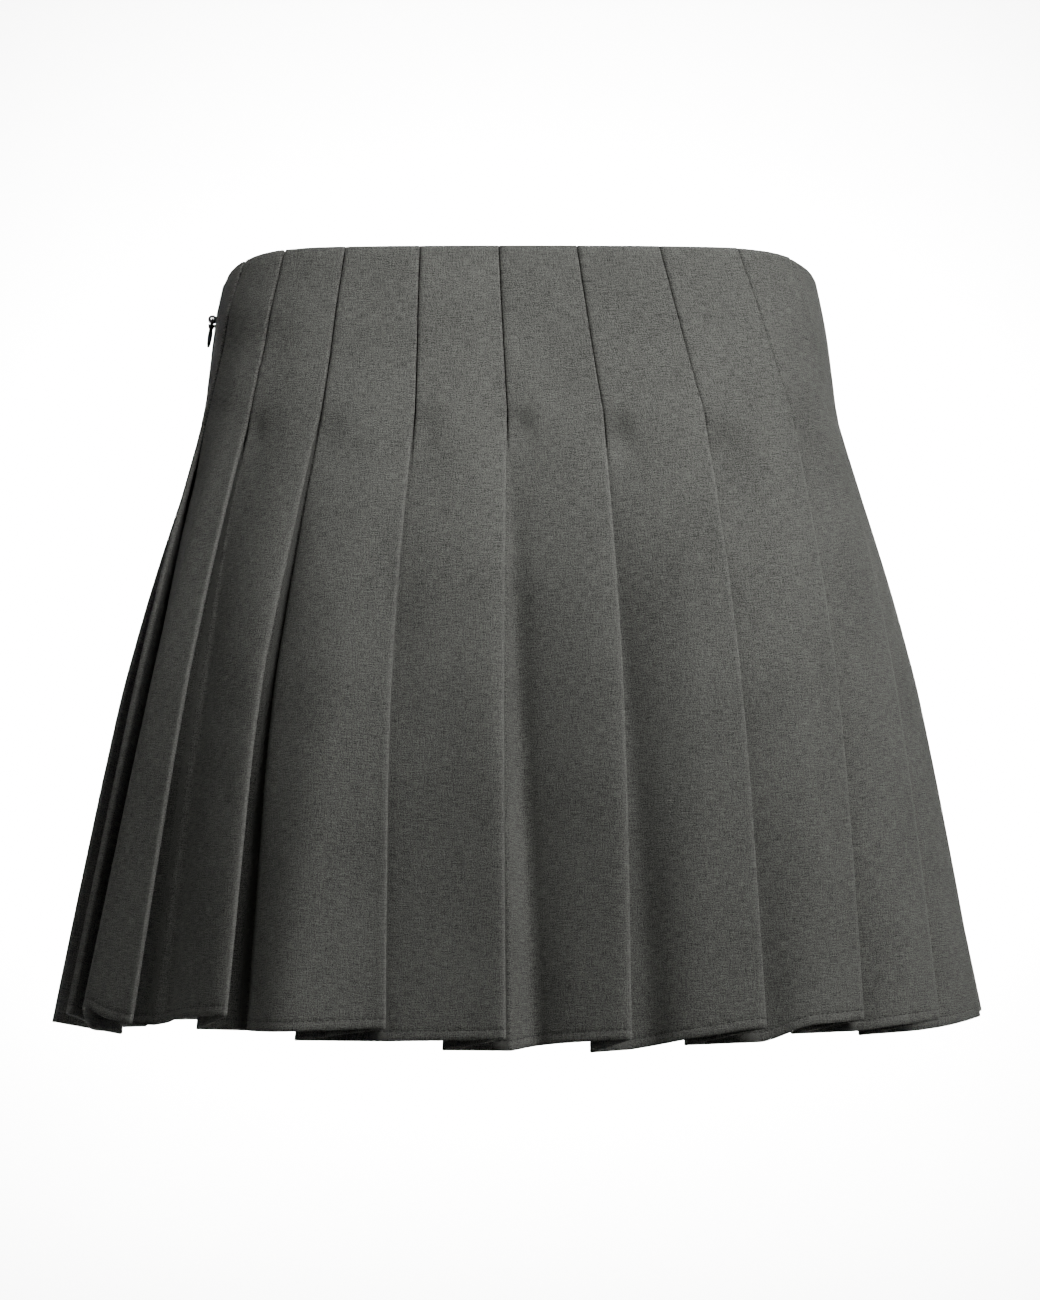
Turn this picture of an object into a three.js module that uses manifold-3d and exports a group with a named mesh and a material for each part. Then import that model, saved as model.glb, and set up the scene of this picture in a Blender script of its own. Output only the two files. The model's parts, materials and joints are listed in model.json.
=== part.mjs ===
// Pleated mini skirt: wool cloth in knife pleats, sewn shut over the hips and loose below,
// with a concealed zip in the wearer's left side seam.
// Millimetres, +Z up, +X the wearer's left, -Y the front. The origin is the centre of the waist opening.
import * as THREE from 'three';
import { mergeVertices } from 'three/addons/utils/BufferGeometryUtils.js';
import Module from 'manifold-3d';

const wasm = await Module();
wasm.setup();

// Driving dimensions
const SIDE_LENGTH = 344; // waist edge to hem at the side seams
const WAIST_TILT = 16; // the waist edge is this much higher at the centre back and lower at the front
const CLOTH = 1.2; // wall, measured level
const LAYER_STEP = 1.8; // from one pressed layer of a pleat to the next
const SEWN_SHARE = 0.215; // share of the length over which the pleats are sewn shut
const SEWN_UNDER = 14; // underlay of each pleat where it is sewn
const SEWN_GROOVE = 1.9; // from a sewn fold to the next panel's face beside it
const SEAM_GAP = 0.3; // between the two panels at a side seam
const ZIP_SLIT = 1.7; // between the panels' edges beside the zip's slider
const PLEATS_A_PANEL = 11;

// table turns rows of numbers into objects with the column names
function table(columns, rows) {
  return rows.map((row) => Object.fromEntries(columns.map((column, i) => [column, row[i]])));
}

// Level sections, each a rounded oblong |x / halfWidth|^power + |y / halfDepth|^power = 1.
// down is measured from the waist edge at the side seams.
const SECTIONS = table(
  ['down', 'halfWidth', 'halfDepth', 'power'],
  [
    [0, 140.5, 93, 3.0],
    [25, 145, 101, 3.0],
    [50, 147.5, 109, 3.0],
    [72, 150.8, 117, 3.0],
    [100, 160.2, 126, 2.8],
    [125, 168.5, 134, 2.65],
    [150, 176.2, 141, 2.55],
    [190, 187.2, 149, 2.45],
    [231, 196, 154, 2.4],
    [283, 206.5, 157, 2.35],
    [SIDE_LENGTH, 218.5, 160, 2.3],
  ],
);

// What shapes a pleat, at the hem:
// under: width of the underlay, from the fold edge back to the inner fold
// sink: how far the inner fold stands in; hang: how far it hangs below the fold edge
// shelf: depth of the panel where it comes out from under the fold before it
// valley, dip: place and depth of the panel's lowest line beside that fold
// bend, crest, rise: where the panel comes clear, back from its fold edge, with its height out and up
// lift: how far the fold edge stands out; hemline: its height below the origin
// starts: share of the length at which the panel's valley begins to show
const FORM = [
  'under', 'sink', 'hang', 'shelf', 'valley', 'dip', 'bend', 'crest', 'rise', 'lift', 'hemline', 'starts',
];

// The back's fold edges from the wearer's left to the right. waist, release, middle and hem are the
// edge's place there, as a share of the half girth.
const BACK_PLEATS = table(
  ['waist', 'release', 'middle', 'hem', ...FORM],
  [
    [0.075, 0.035, 0.01, 0.0, 4, 26, 6, 8, 12, 6, 24, -2, 0, 4, 346, 0.22],
    [0.15, 0.116, 0.126, 0.098, 6, 22, 9, 21, 8, 16, 30, -13, 0, 1, 338, 0.22],
    [0.217, 0.212, 0.203, 0.191, 22, 9, 2, 13, 6, 4, 35, 4, 11, 1, 339, 0.22],
    [0.295, 0.298, 0.284, 0.282, 25, 11, 8, 10, 8, 12, 36, -9, 0, 4, 333, 0.25],
    [0.383, 0.394, 0.393, 0.4, 42, 5, 6, 12, 6, 4, 46, 9, 0, -5, 338, 0.22],
    [0.474, 0.486, 0.486, 0.489, 28, 12, 6, 6, 8, 5, 16, -4, 0, 0, 342, 0.26],
    [0.564, 0.582, 0.584, 0.58, 16, 12, 7, 1, 12, 17, 31, -9, 0, 3, 342, 0.24],
    [0.66, 0.684, 0.682, 0.681, 34, 10, 8, 13, 12, 12, 36, -1, 0, 2, 338, 0.22],
    [0.755, 0.786, 0.776, 0.764, 32, 9, 6, 6, 7, 5, 30, 1, 3, 0, 336, 0.55],
    [0.834, 0.88, 0.857, 0.842, 30, 20, 7, 5, 6, 2, 32, -1, 0, 2, 338, 0.6],
    [0.915, 0.965, 0.945, 0.93, 32, 9, 1, 14, 8, 8, 34, -3, 0, 1, 340, 0.5],
  ],
);

// The front's fold edges go on from there, evenly spaced but for shift, in millimetres at the hem.
const FRONT_PLEATS = table(
  ['shift', ...FORM],
  [
    [2, 32, 9, 6, 7, 10, 5, 35, -5, 0, 2, 341, 0.4],
    [-3, 34, 12, 7, 9, 13, 8, 36, -4, 0, 3, 340, 0.3],
    [4, 30, 8, 6, 5, 9, 4, 33, -2, 0, 2, 342, 0.45],
    [-2, 26, 11, 7, 8, 12, 7, 32, -4, 0, 4, 343, 0.35],
    [3, 33, 9, 5, 6, 10, 5, 36, -3, 0, 3, 342, 0.4],
    [-4, 28, 10, 8, 9, 14, 8, 31, -4, 0, 3, 344, 0.35],
    [0, 34, 9, 6, 5, 8, 4, 37, -2, 0, 3, 343, 0.45],
    [5, 31, 8, 7, 7, 11, 6, 34, -3, 0, 2, 341, 0.4],
    [-3, 27, 13, 8, 10, 12, 9, 30, -6, 0, 4, 340, 0.3],
    [2, 22, 16, 9, 12, 11, 11, 28, -8, 0, 2, 343, 0.25],
    [0, 24, 18, 8, 14, 10, 10, 28, -7, 0, 1, 345, 0.25],
  ],
);

// Rings of the wall, as shares of the length, closest where the pleats let go
const RINGS = [0, 0.06, 0.1, SEWN_SHARE, 0.235, 0.27, 0.32, 0.39, 0.48, 0.58, 0.68, 0.78, 0.87, 0.94, 1];
const PLACE_LEVELS = { waist: 0, release: SEWN_SHARE, middle: 0.55, hem: 1 };

const { lerp, smoothstep } = THREE.MathUtils;

// along reads y at x from points [x, y], joined by straight lines
function along(points, x) {
  const after = Math.max(1, points.findIndex(([px]) => px >= x));
  const [[x0, y0], [x1, y1]] = [points[after - 1], points[after]];
  return lerp(y0, y1, (x - x0) / (x1 - x0));
}

// outline gives a level section as a function of girth, which runs anticlockwise seen from above
// from the wearer's left, with the outward normal and the length of half the section
function outline(level) {
  const size = (column) => along(SECTIONS.map((s) => [s.down, s[column]]), level * SIDE_LENGTH);
  const [halfWidth, halfDepth, power] = [size('halfWidth'), size('halfDepth'), size('power')];
  const STEPS = 720;
  const points = [];
  for (let i = 0; i <= STEPS; i += 1) {
    const turn = (Math.PI * i) / STEPS;
    const x = halfWidth * Math.sign(Math.cos(turn)) * Math.abs(Math.cos(turn)) ** (2 / power);
    points.push(new THREE.Vector2(x, halfDepth * Math.sin(turn) ** (2 / power)));
  }
  const girths = [0];
  for (let i = 1; i <= STEPS; i += 1) girths.push(girths[i - 1] + points[i].distanceTo(points[i - 1]));
  const half = girths[STEPS];
  const xs = points.map((p, i) => [girths[i], p.x]);
  const ys = points.map((p, i) => [girths[i], p.y]);
  const at = (girth, out) => {
    const turns = Math.floor(girth / half);
    const side = turns % 2 === 0 ? 1 : -1;
    const rest = girth - turns * half;
    const point = new THREE.Vector2(along(xs, rest), along(ys, rest));
    const slope = (v, extent) => (Math.sign(v) * Math.abs(v / extent) ** (power - 1)) / extent;
    const normal = new THREE.Vector2(slope(point.x, halfWidth), slope(point.y, halfDepth)).normalize();
    return point.addScaledVector(normal, out).multiplyScalar(side);
  };
  return { half, at };
}

// opening grows from 0 where the pleats let go to 1 at the hem
function opening(level) {
  return Math.max(0, (level - SEWN_SHARE) / (1 - SEWN_SHARE)) ** 1.15;
}

// foldPlace is the share of the half girth, counted on past 1 over the front, of fold number i
function foldPlace(i, level) {
  const lap = Math.floor(i / (2 * PLEATS_A_PANEL));
  const place = i - lap * 2 * PLEATS_A_PANEL;
  const share = (row) => along(Object.entries(PLACE_LEVELS).map(([name, at]) => [at, row[name]]), level);
  if (place < PLEATS_A_PANEL) return share(BACK_PLEATS[place]) + 2 * lap;
  const [last, first] = [share(BACK_PLEATS[PLEATS_A_PANEL - 1]), share(BACK_PLEATS[0]) + 2];
  const number = place - PLEATS_A_PANEL;
  const shift = (FRONT_PLEATS[number].shift * opening(level)) / outline(1).half;
  return lerp(last, first, (number + 1) / (PLEATS_A_PANEL + 1)) + shift + 2 * lap;
}

function form(i) {
  const rows = [...BACK_PLEATS, ...FRONT_PLEATS];
  return rows[(i + rows.length) % rows.length];
}

// pleatStations gives the stations of pleat i at a level, from the point where its panel comes out
// from under the fold before it to its own inner fold: girth, out (from the section) and low (the
// share of the way from the inner fold's hemline to its own, plus what it rises)
function pleatStations(i, level) {
  const half = outline(level).half;
  const open = opening(level);
  const loose = smoothstep(level, SEWN_SHARE, SEWN_SHARE + 0.08);
  const [own, before] = [form(i), form(i - 1)];
  const dipping = open * lerp(0.3, 1, smoothstep(level, own.starts, own.starts + 0.3));
  const fold = foldPlace(i, level) * half;
  const foldBefore = foldPlace(i - 1, level) * half;
  const under = lerp(SEWN_UNDER, own.under, open);
  const bend = lerp(SEWN_UNDER + 2, own.bend, open);
  const clear = fold - bend;
  const innerHem = before.hemline + before.hang;
  const hem = (share) => lerp(innerHem, own.hemline, share);
  const pressed = 2 * LAYER_STEP;
  return [
    {
      name: 'shelf',
      girth: foldBefore + SEWN_GROOVE - 0.2 + 0.12 * own.valley * open,
      out: -pressed - own.shelf * open,
      hem: hem(0.1),
    },
    {
      name: 'valley',
      girth: foldBefore + SEWN_GROOVE + own.valley * open,
      out: -0.3 * (1 - loose) - pressed * loose - own.dip * dipping,
      hem: hem(0.25),
    },
    { name: 'bend', girth: clear, out: own.crest * open, hem: hem(0.6) - own.rise },
    {
      name: 'middle',
      girth: fold - 0.5 * bend,
      out: lerp(own.crest, own.lift, 0.6) * open,
      hem: hem(0.85) - 0.3 * own.rise,
    },
    { name: 'near', girth: fold - 0.15 * bend, out: 0.95 * own.lift * open, hem: own.hemline },
    { name: 'fold', girth: fold, out: own.lift * open - LAYER_STEP / 2, hem: own.hemline },
    {
      name: 'inner',
      girth: fold - under,
      out: -1.5 * LAYER_STEP - own.sink * open,
      hem: own.hemline + own.hang,
    },
  ];
}

// hairpin turns a fold into its two corners, one layer step apart across the fold's own direction
function hairpin(before, tip, after) {
  const axis = tip.clone().sub(before).normalize().add(tip.clone().sub(after).normalize()).normalize();
  const across = new THREE.Vector2(-axis.y, axis.x);
  if (across.dot(before.clone().sub(after)) < 0) across.negate();
  const corner = (side) => tip.clone().addScaledVector(across, (side * LAYER_STEP) / 2);
  return [corner(1), corner(-1)];
}

// seamPoint lies half way between the valley and the bend of the panel of pleat i
function seamPoint(i, level) {
  const section = outline(level);
  const [, valley, bend] = pleatStations(i, level);
  const [a, b] = [section.at(valley.girth, valley.out), section.at(bend.girth, bend.out)];
  return {
    point: a.clone().lerp(b, 0.5),
    along: b.clone().sub(a).normalize(),
    hem: (valley.hem + bend.hem) / 2,
  };
}

// slit is the distance between the panels' edges: wider round the zip's slider on the left seam
function slit(i, level) {
  const zipped = i % (2 * PLEATS_A_PANEL) === 0;
  return zipped ? lerp(ZIP_SLIT, SEAM_GAP, smoothstep(level, 0.06, 0.1)) : SEAM_GAP;
}

// waistHeight is level at the back and the front, with a slope over the hips
function waistHeight(y) {
  const [{ halfDepth }] = SECTIONS;
  return WAIST_TILT * Math.sign(y) * smoothstep(Math.abs(y) / halfDepth, 0.1, 0.9);
}

// panelRing is the middle line of a panel's cloth at a level, from the seam in pleat `first` through
// eleven fold edges to the seam in the panel after them, as points with x, y and hem
function panelRing(first, level) {
  const section = outline(level);
  const last = first + PLEATS_A_PANEL;
  const stations = [];
  for (let i = first; i <= last; i += 1) stations.push(...pleatStations(i, level));
  const flat = stations.map((s) => section.at(s.girth, s.out));
  const ring = [];
  stations.forEach((station, i) => {
    const beyond = i < 2 || i > stations.length - 6;
    if (beyond) return;
    const folded = station.name === 'fold' || station.name === 'inner';
    const places = folded ? hairpin(flat[i - 1], flat[i], flat[i + 1]) : [flat[i]];
    places.forEach((p) => ring.push({ x: p.x, y: p.y, hem: station.hem }));
  });
  const edge = (i, side) => {
    const seam = seamPoint(i, level);
    const p = seam.point.addScaledVector(seam.along, (side * slit(i, level)) / 2);
    return { x: p.x, y: p.y, hem: seam.hem };
  };
  return [edge(first, 1), ...ring, edge(last, -1)];
}

// offsetLine moves an open line of points to its right-hand side by out, keeping corners sharp
function offsetLine(line, out) {
  const step = (p, i) => new THREE.Vector2(p.x - line[i].x, p.y - line[i].y).normalize();
  const directions = line.slice(1).map(step);
  return line.map((p, i) => {
    const into = directions[Math.max(0, i - 1)];
    const away = directions[Math.min(directions.length - 1, i)];
    const mean = into.clone().add(away).normalize();
    const reach = out / Math.max(0.6, mean.dot(away));
    return new THREE.Vector2(p.x + mean.y * reach, p.y - mean.x * reach);
  });
}

// wall closes a cloth of even thickness round rings of middle lines, given as { level, line }.
// A point's height runs from the waist edge above it to its own hemline.
function wall(rings, thickness, inset = 0) {
  const positions = [];
  const index = [];
  const tops = rings[0].waist.map((p) => waistHeight(p.y));
  const add = ({ level, line }, out) => {
    offsetLine(line, out).forEach((p, i) => positions.push(p.x, p.y, lerp(tops[i], -line[i].hem, level)));
  };
  rings.forEach((ring) => {
    add(ring, thickness / 2 - inset);
    add(ring, -thickness / 2 - inset);
  });
  const count = rings[0].line.length;
  const outer = (i, j) => i * 2 * count + j;
  const inner = (i, j) => outer(i, j) + count;
  const quad = (a, b, c, d) => index.push(a, b, c, a, c, d);
  const [bottom, end] = [rings.length - 1, count - 1];
  for (let i = 0; i < bottom; i += 1) {
    for (let j = 0; j < end; j += 1) {
      quad(outer(i, j), outer(i + 1, j), outer(i + 1, j + 1), outer(i, j + 1));
      quad(inner(i, j), inner(i, j + 1), inner(i + 1, j + 1), inner(i + 1, j));
    }
    quad(outer(i + 1, 0), outer(i, 0), inner(i, 0), inner(i + 1, 0));
    quad(outer(i, end), outer(i + 1, end), inner(i + 1, end), inner(i, end));
  }
  for (let j = 0; j < end; j += 1) {
    quad(outer(0, j), outer(0, j + 1), inner(0, j + 1), inner(0, j));
    quad(outer(bottom, j + 1), outer(bottom, j), inner(bottom, j), inner(bottom, j + 1));
  }
  const geometry = new THREE.BufferGeometry();
  geometry.setAttribute('position', new THREE.Float32BufferAttribute(positions, 3));
  geometry.setIndex(index);
  return geometry;
}

function panel(first) {
  const waist = panelRing(first, 0);
  return wall(RINGS.map((level) => ({ level, line: panelRing(first, level), waist })), CLOTH);
}

// Zip: two tapes behind the left seam, a slider over the coil between them and a hanging pull tab
const ZIP = {
  tapeWidth: 6.2,
  tapeThickness: 0.9,
  tapeTop: 0.012,
  tapeBottom: 0.44,
  coilGap: 1.8,
  sliderDown: 0.036, // share of the length, from the waist edge to the pull's axle
  neck: 1.0,
  neckHeight: 2.4,
  bodyWidth: 5.2,
  bodyHeight: 8.5,
  bodyDepth: 2.2,
  eyeRadius: 1.9,
  eyeHole: 1.05,
  axleOut: 3.1, // from the cloth's face to the pull's axle
  pullLength: 13.6, // from the axle to the tip
  pullThickness: 1.1,
  clearance: 0.35,
};
const TAPE_INSET = CLOTH / 2 + SEAM_GAP + ZIP.tapeThickness / 2;

// tape lies behind the panel's edge on one side of the seam
function tape(side) {
  const levels = RINGS.filter((level) => level > ZIP.tapeTop && level < ZIP.tapeBottom);
  const line = (level) => {
    const seam = seamPoint(0, level);
    const at = (distance) => seam.point.clone().addScaledVector(seam.along, side * distance);
    const ends = [at(ZIP.coilGap / 2), at(ZIP.coilGap / 2 + ZIP.tapeWidth)];
    if (side < 0) ends.reverse();
    return ends.map((p) => ({ x: p.x, y: p.y, hem: seam.hem }));
  };
  const waist = line(0);
  const ring = (level) => ({ level, line: line(level), waist });
  return wall([ZIP.tapeTop, ...levels, ZIP.tapeBottom].map(ring), ZIP.tapeThickness, TAPE_INSET);
}

// zipFrame stands on the cloth's face at the slider: X out of the cloth, Y along the seam's
// crosswise direction, Z up the seam
function zipFrame() {
  const at = (level) => {
    const seam = seamPoint(0, level);
    const top = waistHeight(seamPoint(0, 0).point.y);
    return new THREE.Vector3(seam.point.x, seam.point.y, lerp(top, -seam.hem, level));
  };
  const reach = 0.02;
  const up = at(ZIP.sliderDown - reach).sub(at(ZIP.sliderDown + reach)).normalize();
  const cross = seamPoint(0, ZIP.sliderDown).along;
  const out = new THREE.Vector3(cross.x, cross.y, 0).cross(up).normalize();
  const sideways = up.clone().cross(out).normalize();
  const origin = at(ZIP.sliderDown).addScaledVector(out, CLOTH / 2);
  return new THREE.Matrix4().makeBasis(out, sideways, up).setPosition(origin);
}

function solidOf(geometry) {
  const bare = geometry.clone();
  bare.deleteAttribute('normal');
  bare.deleteAttribute('uv');
  const merged = mergeVertices(bare, 1e-4);
  return new wasm.Manifold(
    new wasm.Mesh({
      numProp: 3,
      vertProperties: new Float32Array(merged.attributes.position.array),
      triVerts: new Uint32Array(merged.index.array),
    }),
  );
}

function geometryOf(solid) {
  const mesh = solid.getMesh();
  const geometry = new THREE.BufferGeometry();
  geometry.setAttribute('position', new THREE.BufferAttribute(mesh.vertProperties, 3));
  geometry.setIndex(new THREE.BufferAttribute(mesh.triVerts, 1));
  return geometry;
}

// plate extrudes an outline drawn in the plane across and up, with its thickness along X
function plate(shape, thickness, curveSegments) {
  const geometry = new THREE.ExtrudeGeometry(shape, { depth: thickness, bevelEnabled: false, curveSegments });
  geometry.translate(0, 0, -thickness / 2);
  return geometry.applyMatrix4(new THREE.Matrix4().makeBasis(
    new THREE.Vector3(0, 1, 0),
    new THREE.Vector3(0, 0, 1),
    new THREE.Vector3(1, 0, 0),
  ));
}

// slider: a body behind the tapes, a neck through the slit, and an eye for the pull's axle
function slider() {
  const bodyFace = -(CLOTH + SEAM_GAP + ZIP.tapeThickness + SEAM_GAP);
  const body = new THREE.BoxGeometry(ZIP.bodyDepth, ZIP.bodyWidth, ZIP.bodyHeight);
  body.translate(bodyFace - ZIP.bodyDepth / 2, 0, 0);
  const neckIn = bodyFace - ZIP.bodyDepth / 2;
  const neckOut = ZIP.axleOut - ZIP.eyeHole - 0.2;
  const neck = new THREE.BoxGeometry(neckOut - neckIn, ZIP.neck, ZIP.neckHeight);
  neck.translate((neckOut + neckIn) / 2, 0, 0);
  const ring = new THREE.Shape().absarc(0, 0, ZIP.eyeRadius, 0, 2 * Math.PI);
  ring.holes.push(new THREE.Path().absarc(0, 0, ZIP.eyeHole, 0, 2 * Math.PI, true));
  const eye = new THREE.ExtrudeGeometry(ring, { depth: ZIP.neck, bevelEnabled: false, curveSegments: 8 });
  eye.translate(0, 0, -ZIP.neck / 2);
  eye.rotateX(Math.PI / 2);
  eye.translate(ZIP.axleOut, 0, 0);
  return geometryOf(solidOf(body).add(solidOf(neck)).add(solidOf(eye)));
}

// pull: a teardrop plate whose top bar runs through the slider's eye
function pull() {
  const windowHalf = ZIP.neck / 2 + ZIP.clearance;
  const windowDepth = ZIP.eyeRadius + ZIP.clearance;
  const bar = 0.45; // half the height of the bar in the eye
  const arm = 0.9; // width of the plate on each side of the window
  const tipRadius = 1.9;
  const waist = { half: 0.8, down: 5 }; // the handle of the curves between the shoulders and the tip
  const shoulderDown = windowDepth + 0.5;
  const shoulder = windowHalf + arm;
  const tear = new THREE.Shape();
  tear.moveTo(shoulder, bar);
  tear.lineTo(-shoulder, bar);
  tear.lineTo(-shoulder, -shoulderDown);
  tear.quadraticCurveTo(-waist.half, -waist.down, -tipRadius, -ZIP.pullLength + tipRadius);
  const round = -ZIP.pullLength - tipRadius / 3; // the handles of a half circle reach 4/3 of its radius
  tear.bezierCurveTo(-tipRadius, round, tipRadius, round, tipRadius, -ZIP.pullLength + tipRadius);
  tear.quadraticCurveTo(waist.half, -waist.down, shoulder, -shoulderDown);
  const pane = new THREE.Path();
  pane.moveTo(-windowHalf, -bar);
  pane.lineTo(windowHalf, -bar);
  pane.lineTo(windowHalf, -windowDepth);
  pane.lineTo(-windowHalf, -windowDepth);
  tear.holes.push(pane);
  return plate(tear, ZIP.pullThickness, 6);
}

const wool = new THREE.MeshStandardMaterial({ color: '#565751', roughness: 0.9, metalness: 0 });
const tapeCloth = new THREE.MeshStandardMaterial({ color: '#33342f', roughness: 0.85, metalness: 0 });
const enamel = new THREE.MeshStandardMaterial({ color: '#3a3a38', roughness: 0.4, metalness: 0.6 });

function named(name, geometry, material) {
  const mesh = new THREE.Mesh(geometry, material);
  mesh.name = name;
  return mesh;
}

const skirt = new THREE.Group();
skirt.add(
  named('back_panel', panel(0), wool),
  named('front_panel', panel(PLEATS_A_PANEL), wool),
  named('zip_tape_back', tape(1), tapeCloth),
  named('zip_tape_front', tape(-1), tapeCloth),
);

const zip = new THREE.Group();
zip.applyMatrix4(zipFrame());
const sliderMesh = named('zip_slider', slider(), enamel);
const pullMesh = named('zip_pull', pull(), enamel);
pullMesh.position.x = ZIP.axleOut;
zip.add(sliderMesh, pullMesh);
skirt.add(zip);

export default skirt;
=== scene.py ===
"""Dresses the pleated mini skirt: pleated wool cloth, hem stitching, the concealed zip and the studio.

Millimetres in the tables and formulas, metres in the meshes. +Z up, +X the wearer's left, -Y the front,
origin at the centre of the waist opening.
"""

import json
import math

import bpy
import numpy as np
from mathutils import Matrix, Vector


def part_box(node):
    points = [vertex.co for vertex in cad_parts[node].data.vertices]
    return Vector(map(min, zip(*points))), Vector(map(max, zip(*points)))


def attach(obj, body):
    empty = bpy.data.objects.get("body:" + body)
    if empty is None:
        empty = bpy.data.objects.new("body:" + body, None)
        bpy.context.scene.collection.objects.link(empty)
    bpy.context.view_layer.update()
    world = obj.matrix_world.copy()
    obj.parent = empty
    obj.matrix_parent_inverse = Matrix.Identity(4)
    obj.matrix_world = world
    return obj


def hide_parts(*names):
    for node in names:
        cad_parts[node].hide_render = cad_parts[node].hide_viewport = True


bl_info = {
    "name": "Pleated mini skirt",
    "version": (1, 0, 0),
    "blender": (4, 5, 0),
    "location": "3D View > Sidebar > Skirt",
    "description": "Makes the cloth, stitching, zip and studio of a knife-pleated mini skirt",
    "category": "Object",
}

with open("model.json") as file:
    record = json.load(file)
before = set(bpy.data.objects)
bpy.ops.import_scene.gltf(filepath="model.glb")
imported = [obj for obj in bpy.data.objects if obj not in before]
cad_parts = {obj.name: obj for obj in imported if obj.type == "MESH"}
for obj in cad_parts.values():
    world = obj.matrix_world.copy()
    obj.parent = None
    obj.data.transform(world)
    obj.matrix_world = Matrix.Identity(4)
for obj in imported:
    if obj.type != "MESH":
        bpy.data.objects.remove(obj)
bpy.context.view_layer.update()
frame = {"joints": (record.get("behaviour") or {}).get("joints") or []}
MM = 0.001

# The skirt's cut, as its solids have it
SIDE_LENGTH = 344.0  # waist edge to hem at the side seams
WAIST_TILT = 16.0  # the waist edge is this much higher at the centre back and lower at the front
SEWN_SHARE = 0.215  # share of the length over which the pleats are sewn shut
SEWN_UNDER = 14.0  # underlay of each pleat where it is sewn
SEAM_GAP = 0.3  # between the two panels at a side seam
ZIP_SLIT = 1.7  # between the panels' edges beside the zip's slider
SOLID_GROOVE = 1.9  # from a sewn fold to the next panel's face, in the solids
PLEATS_A_PANEL = 11
PLEATS = 2 * PLEATS_A_PANEL

# Level sections |x / half_width|^power + |y / half_depth|^power = 1, with down from the waist edge
SECTIONS = np.array([
    # down, half_width, half_depth, power
    [0, 140.5, 93, 3.0],
    [25, 145.0, 101, 3.0],
    [50, 147.5, 109, 3.0],
    [72, 150.8, 117, 3.0],
    [100, 160.2, 126, 2.8],
    [125, 168.5, 134, 2.65],
    [150, 176.2, 141, 2.55],
    [190, 187.2, 149, 2.45],
    [231, 196.0, 154, 2.4],
    [283, 206.5, 157, 2.35],
    [SIDE_LENGTH, 218.5, 160, 2.3],
])

SOFTENING = 9.0  # over this much each way the table's straight lines are rounded

# What shapes a pleat, at the hem:
# under: width of the underlay, from the fold edge back to the inner fold
# sink: how far the inner fold stands in; hang: how far it hangs below the fold edge
# shelf: depth of the panel where it comes out from under the fold before it
# valley, dip: place and depth of the panel's lowest line beside that fold
# bend, crest, rise: where the panel comes clear, back from its fold edge, with its height out and up
# lift: how far the fold edge stands out; hemline: its height below the origin
# starts: share of the length at which the panel's valley begins to show
FORM_COLUMNS = [
    "under", "sink", "hang", "shelf", "valley", "dip", "bend", "crest", "rise", "lift", "hemline", "starts",
]

# The back's fold edges from the wearer's left to the right: four places, as shares of the half girth
# at the waist, the release, the middle and the hem, then the form
BACK_PLEATS = np.array([
    [0.075, 0.035, 0.01, 0.0, 4, 26, 6, 8, 12, 6, 24, -2, 0, 4, 346, 0.22],
    [0.15, 0.116, 0.126, 0.098, 6, 22, 9, 21, 8, 16, 30, -13, 0, 1, 338, 0.22],
    [0.217, 0.212, 0.203, 0.191, 22, 9, 2, 13, 6, 4, 35, 4, 11, 1, 339, 0.22],
    [0.295, 0.298, 0.284, 0.282, 25, 11, 8, 10, 8, 12, 36, -9, 0, 4, 333, 0.25],
    [0.383, 0.394, 0.393, 0.4, 42, 5, 6, 12, 6, 4, 46, 9, 0, -5, 338, 0.22],
    [0.474, 0.486, 0.486, 0.489, 28, 12, 6, 6, 8, 5, 16, -4, 0, 0, 342, 0.26],
    [0.564, 0.582, 0.584, 0.58, 16, 12, 7, 1, 12, 17, 31, -9, 0, 3, 342, 0.24],
    [0.66, 0.684, 0.682, 0.681, 34, 10, 8, 13, 12, 12, 36, -1, 0, 2, 338, 0.22],
    [0.755, 0.786, 0.776, 0.764, 32, 9, 6, 6, 7, 5, 30, 1, 3, 0, 336, 0.55],
    [0.834, 0.88, 0.857, 0.842, 30, 20, 7, 5, 6, 2, 32, -1, 0, 2, 338, 0.6],
    [0.915, 0.965, 0.945, 0.93, 32, 9, 1, 14, 8, 8, 34, -3, 0, 1, 340, 0.5],
])
PLACE_LEVELS = np.array([0, SEWN_SHARE, 0.55, 1.0])
PLACES = len(PLACE_LEVELS)

# The front's fold edges go on from there, evenly spaced but for a shift, in millimetres at the hem
FRONT_PLEATS = np.array([
    [2, 32, 9, 0, 7, 10, 5, 35, -5, 0, 2, 341, 0.4],
    [-3, 34, 12, 7, 9, 13, 8, 36, -4, 0, 3, 340, 0.3],
    [4, 30, 8, 6, 5, 9, 4, 33, -2, 0, 2, 342, 0.45],
    [-2, 26, 11, 7, 8, 12, 7, 32, -4, 0, 4, 343, 0.35],
    [3, 33, 9, 5, 6, 10, 5, 36, -3, 0, 3, 342, 0.4],
    [-4, 28, 10, 8, 9, 14, 8, 31, -4, 0, 3, 344, 0.35],
    [0, 34, 9, 6, 5, 8, 4, 37, -2, 0, 3, 343, 0.45],
    [5, 31, 8, 7, 7, 11, 6, 34, -3, 0, 2, 341, 0.4],
    [-3, 27, 13, 8, 10, 12, 9, 30, -6, 0, 4, 340, 0.3],
    [2, 22, 16, 9, 12, 11, 11, 28, -8, 0, 2, 343, 0.25],
    [0, 24, 18, 8, 14, 10, 10, 28, -7, 0, 1, 345, 0.25],
])
PLEAT_FORMS = dict(zip(FORM_COLUMNS, np.concatenate([BACK_PLEATS[:, PLACES:], FRONT_PLEATS[:, 1:]]).T))
OPENING_POWER = 1.15  # the pleats open a little more slowly at first
DIP_POWER = 0.6  # but the valleys beside the folds deepen sooner
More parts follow.
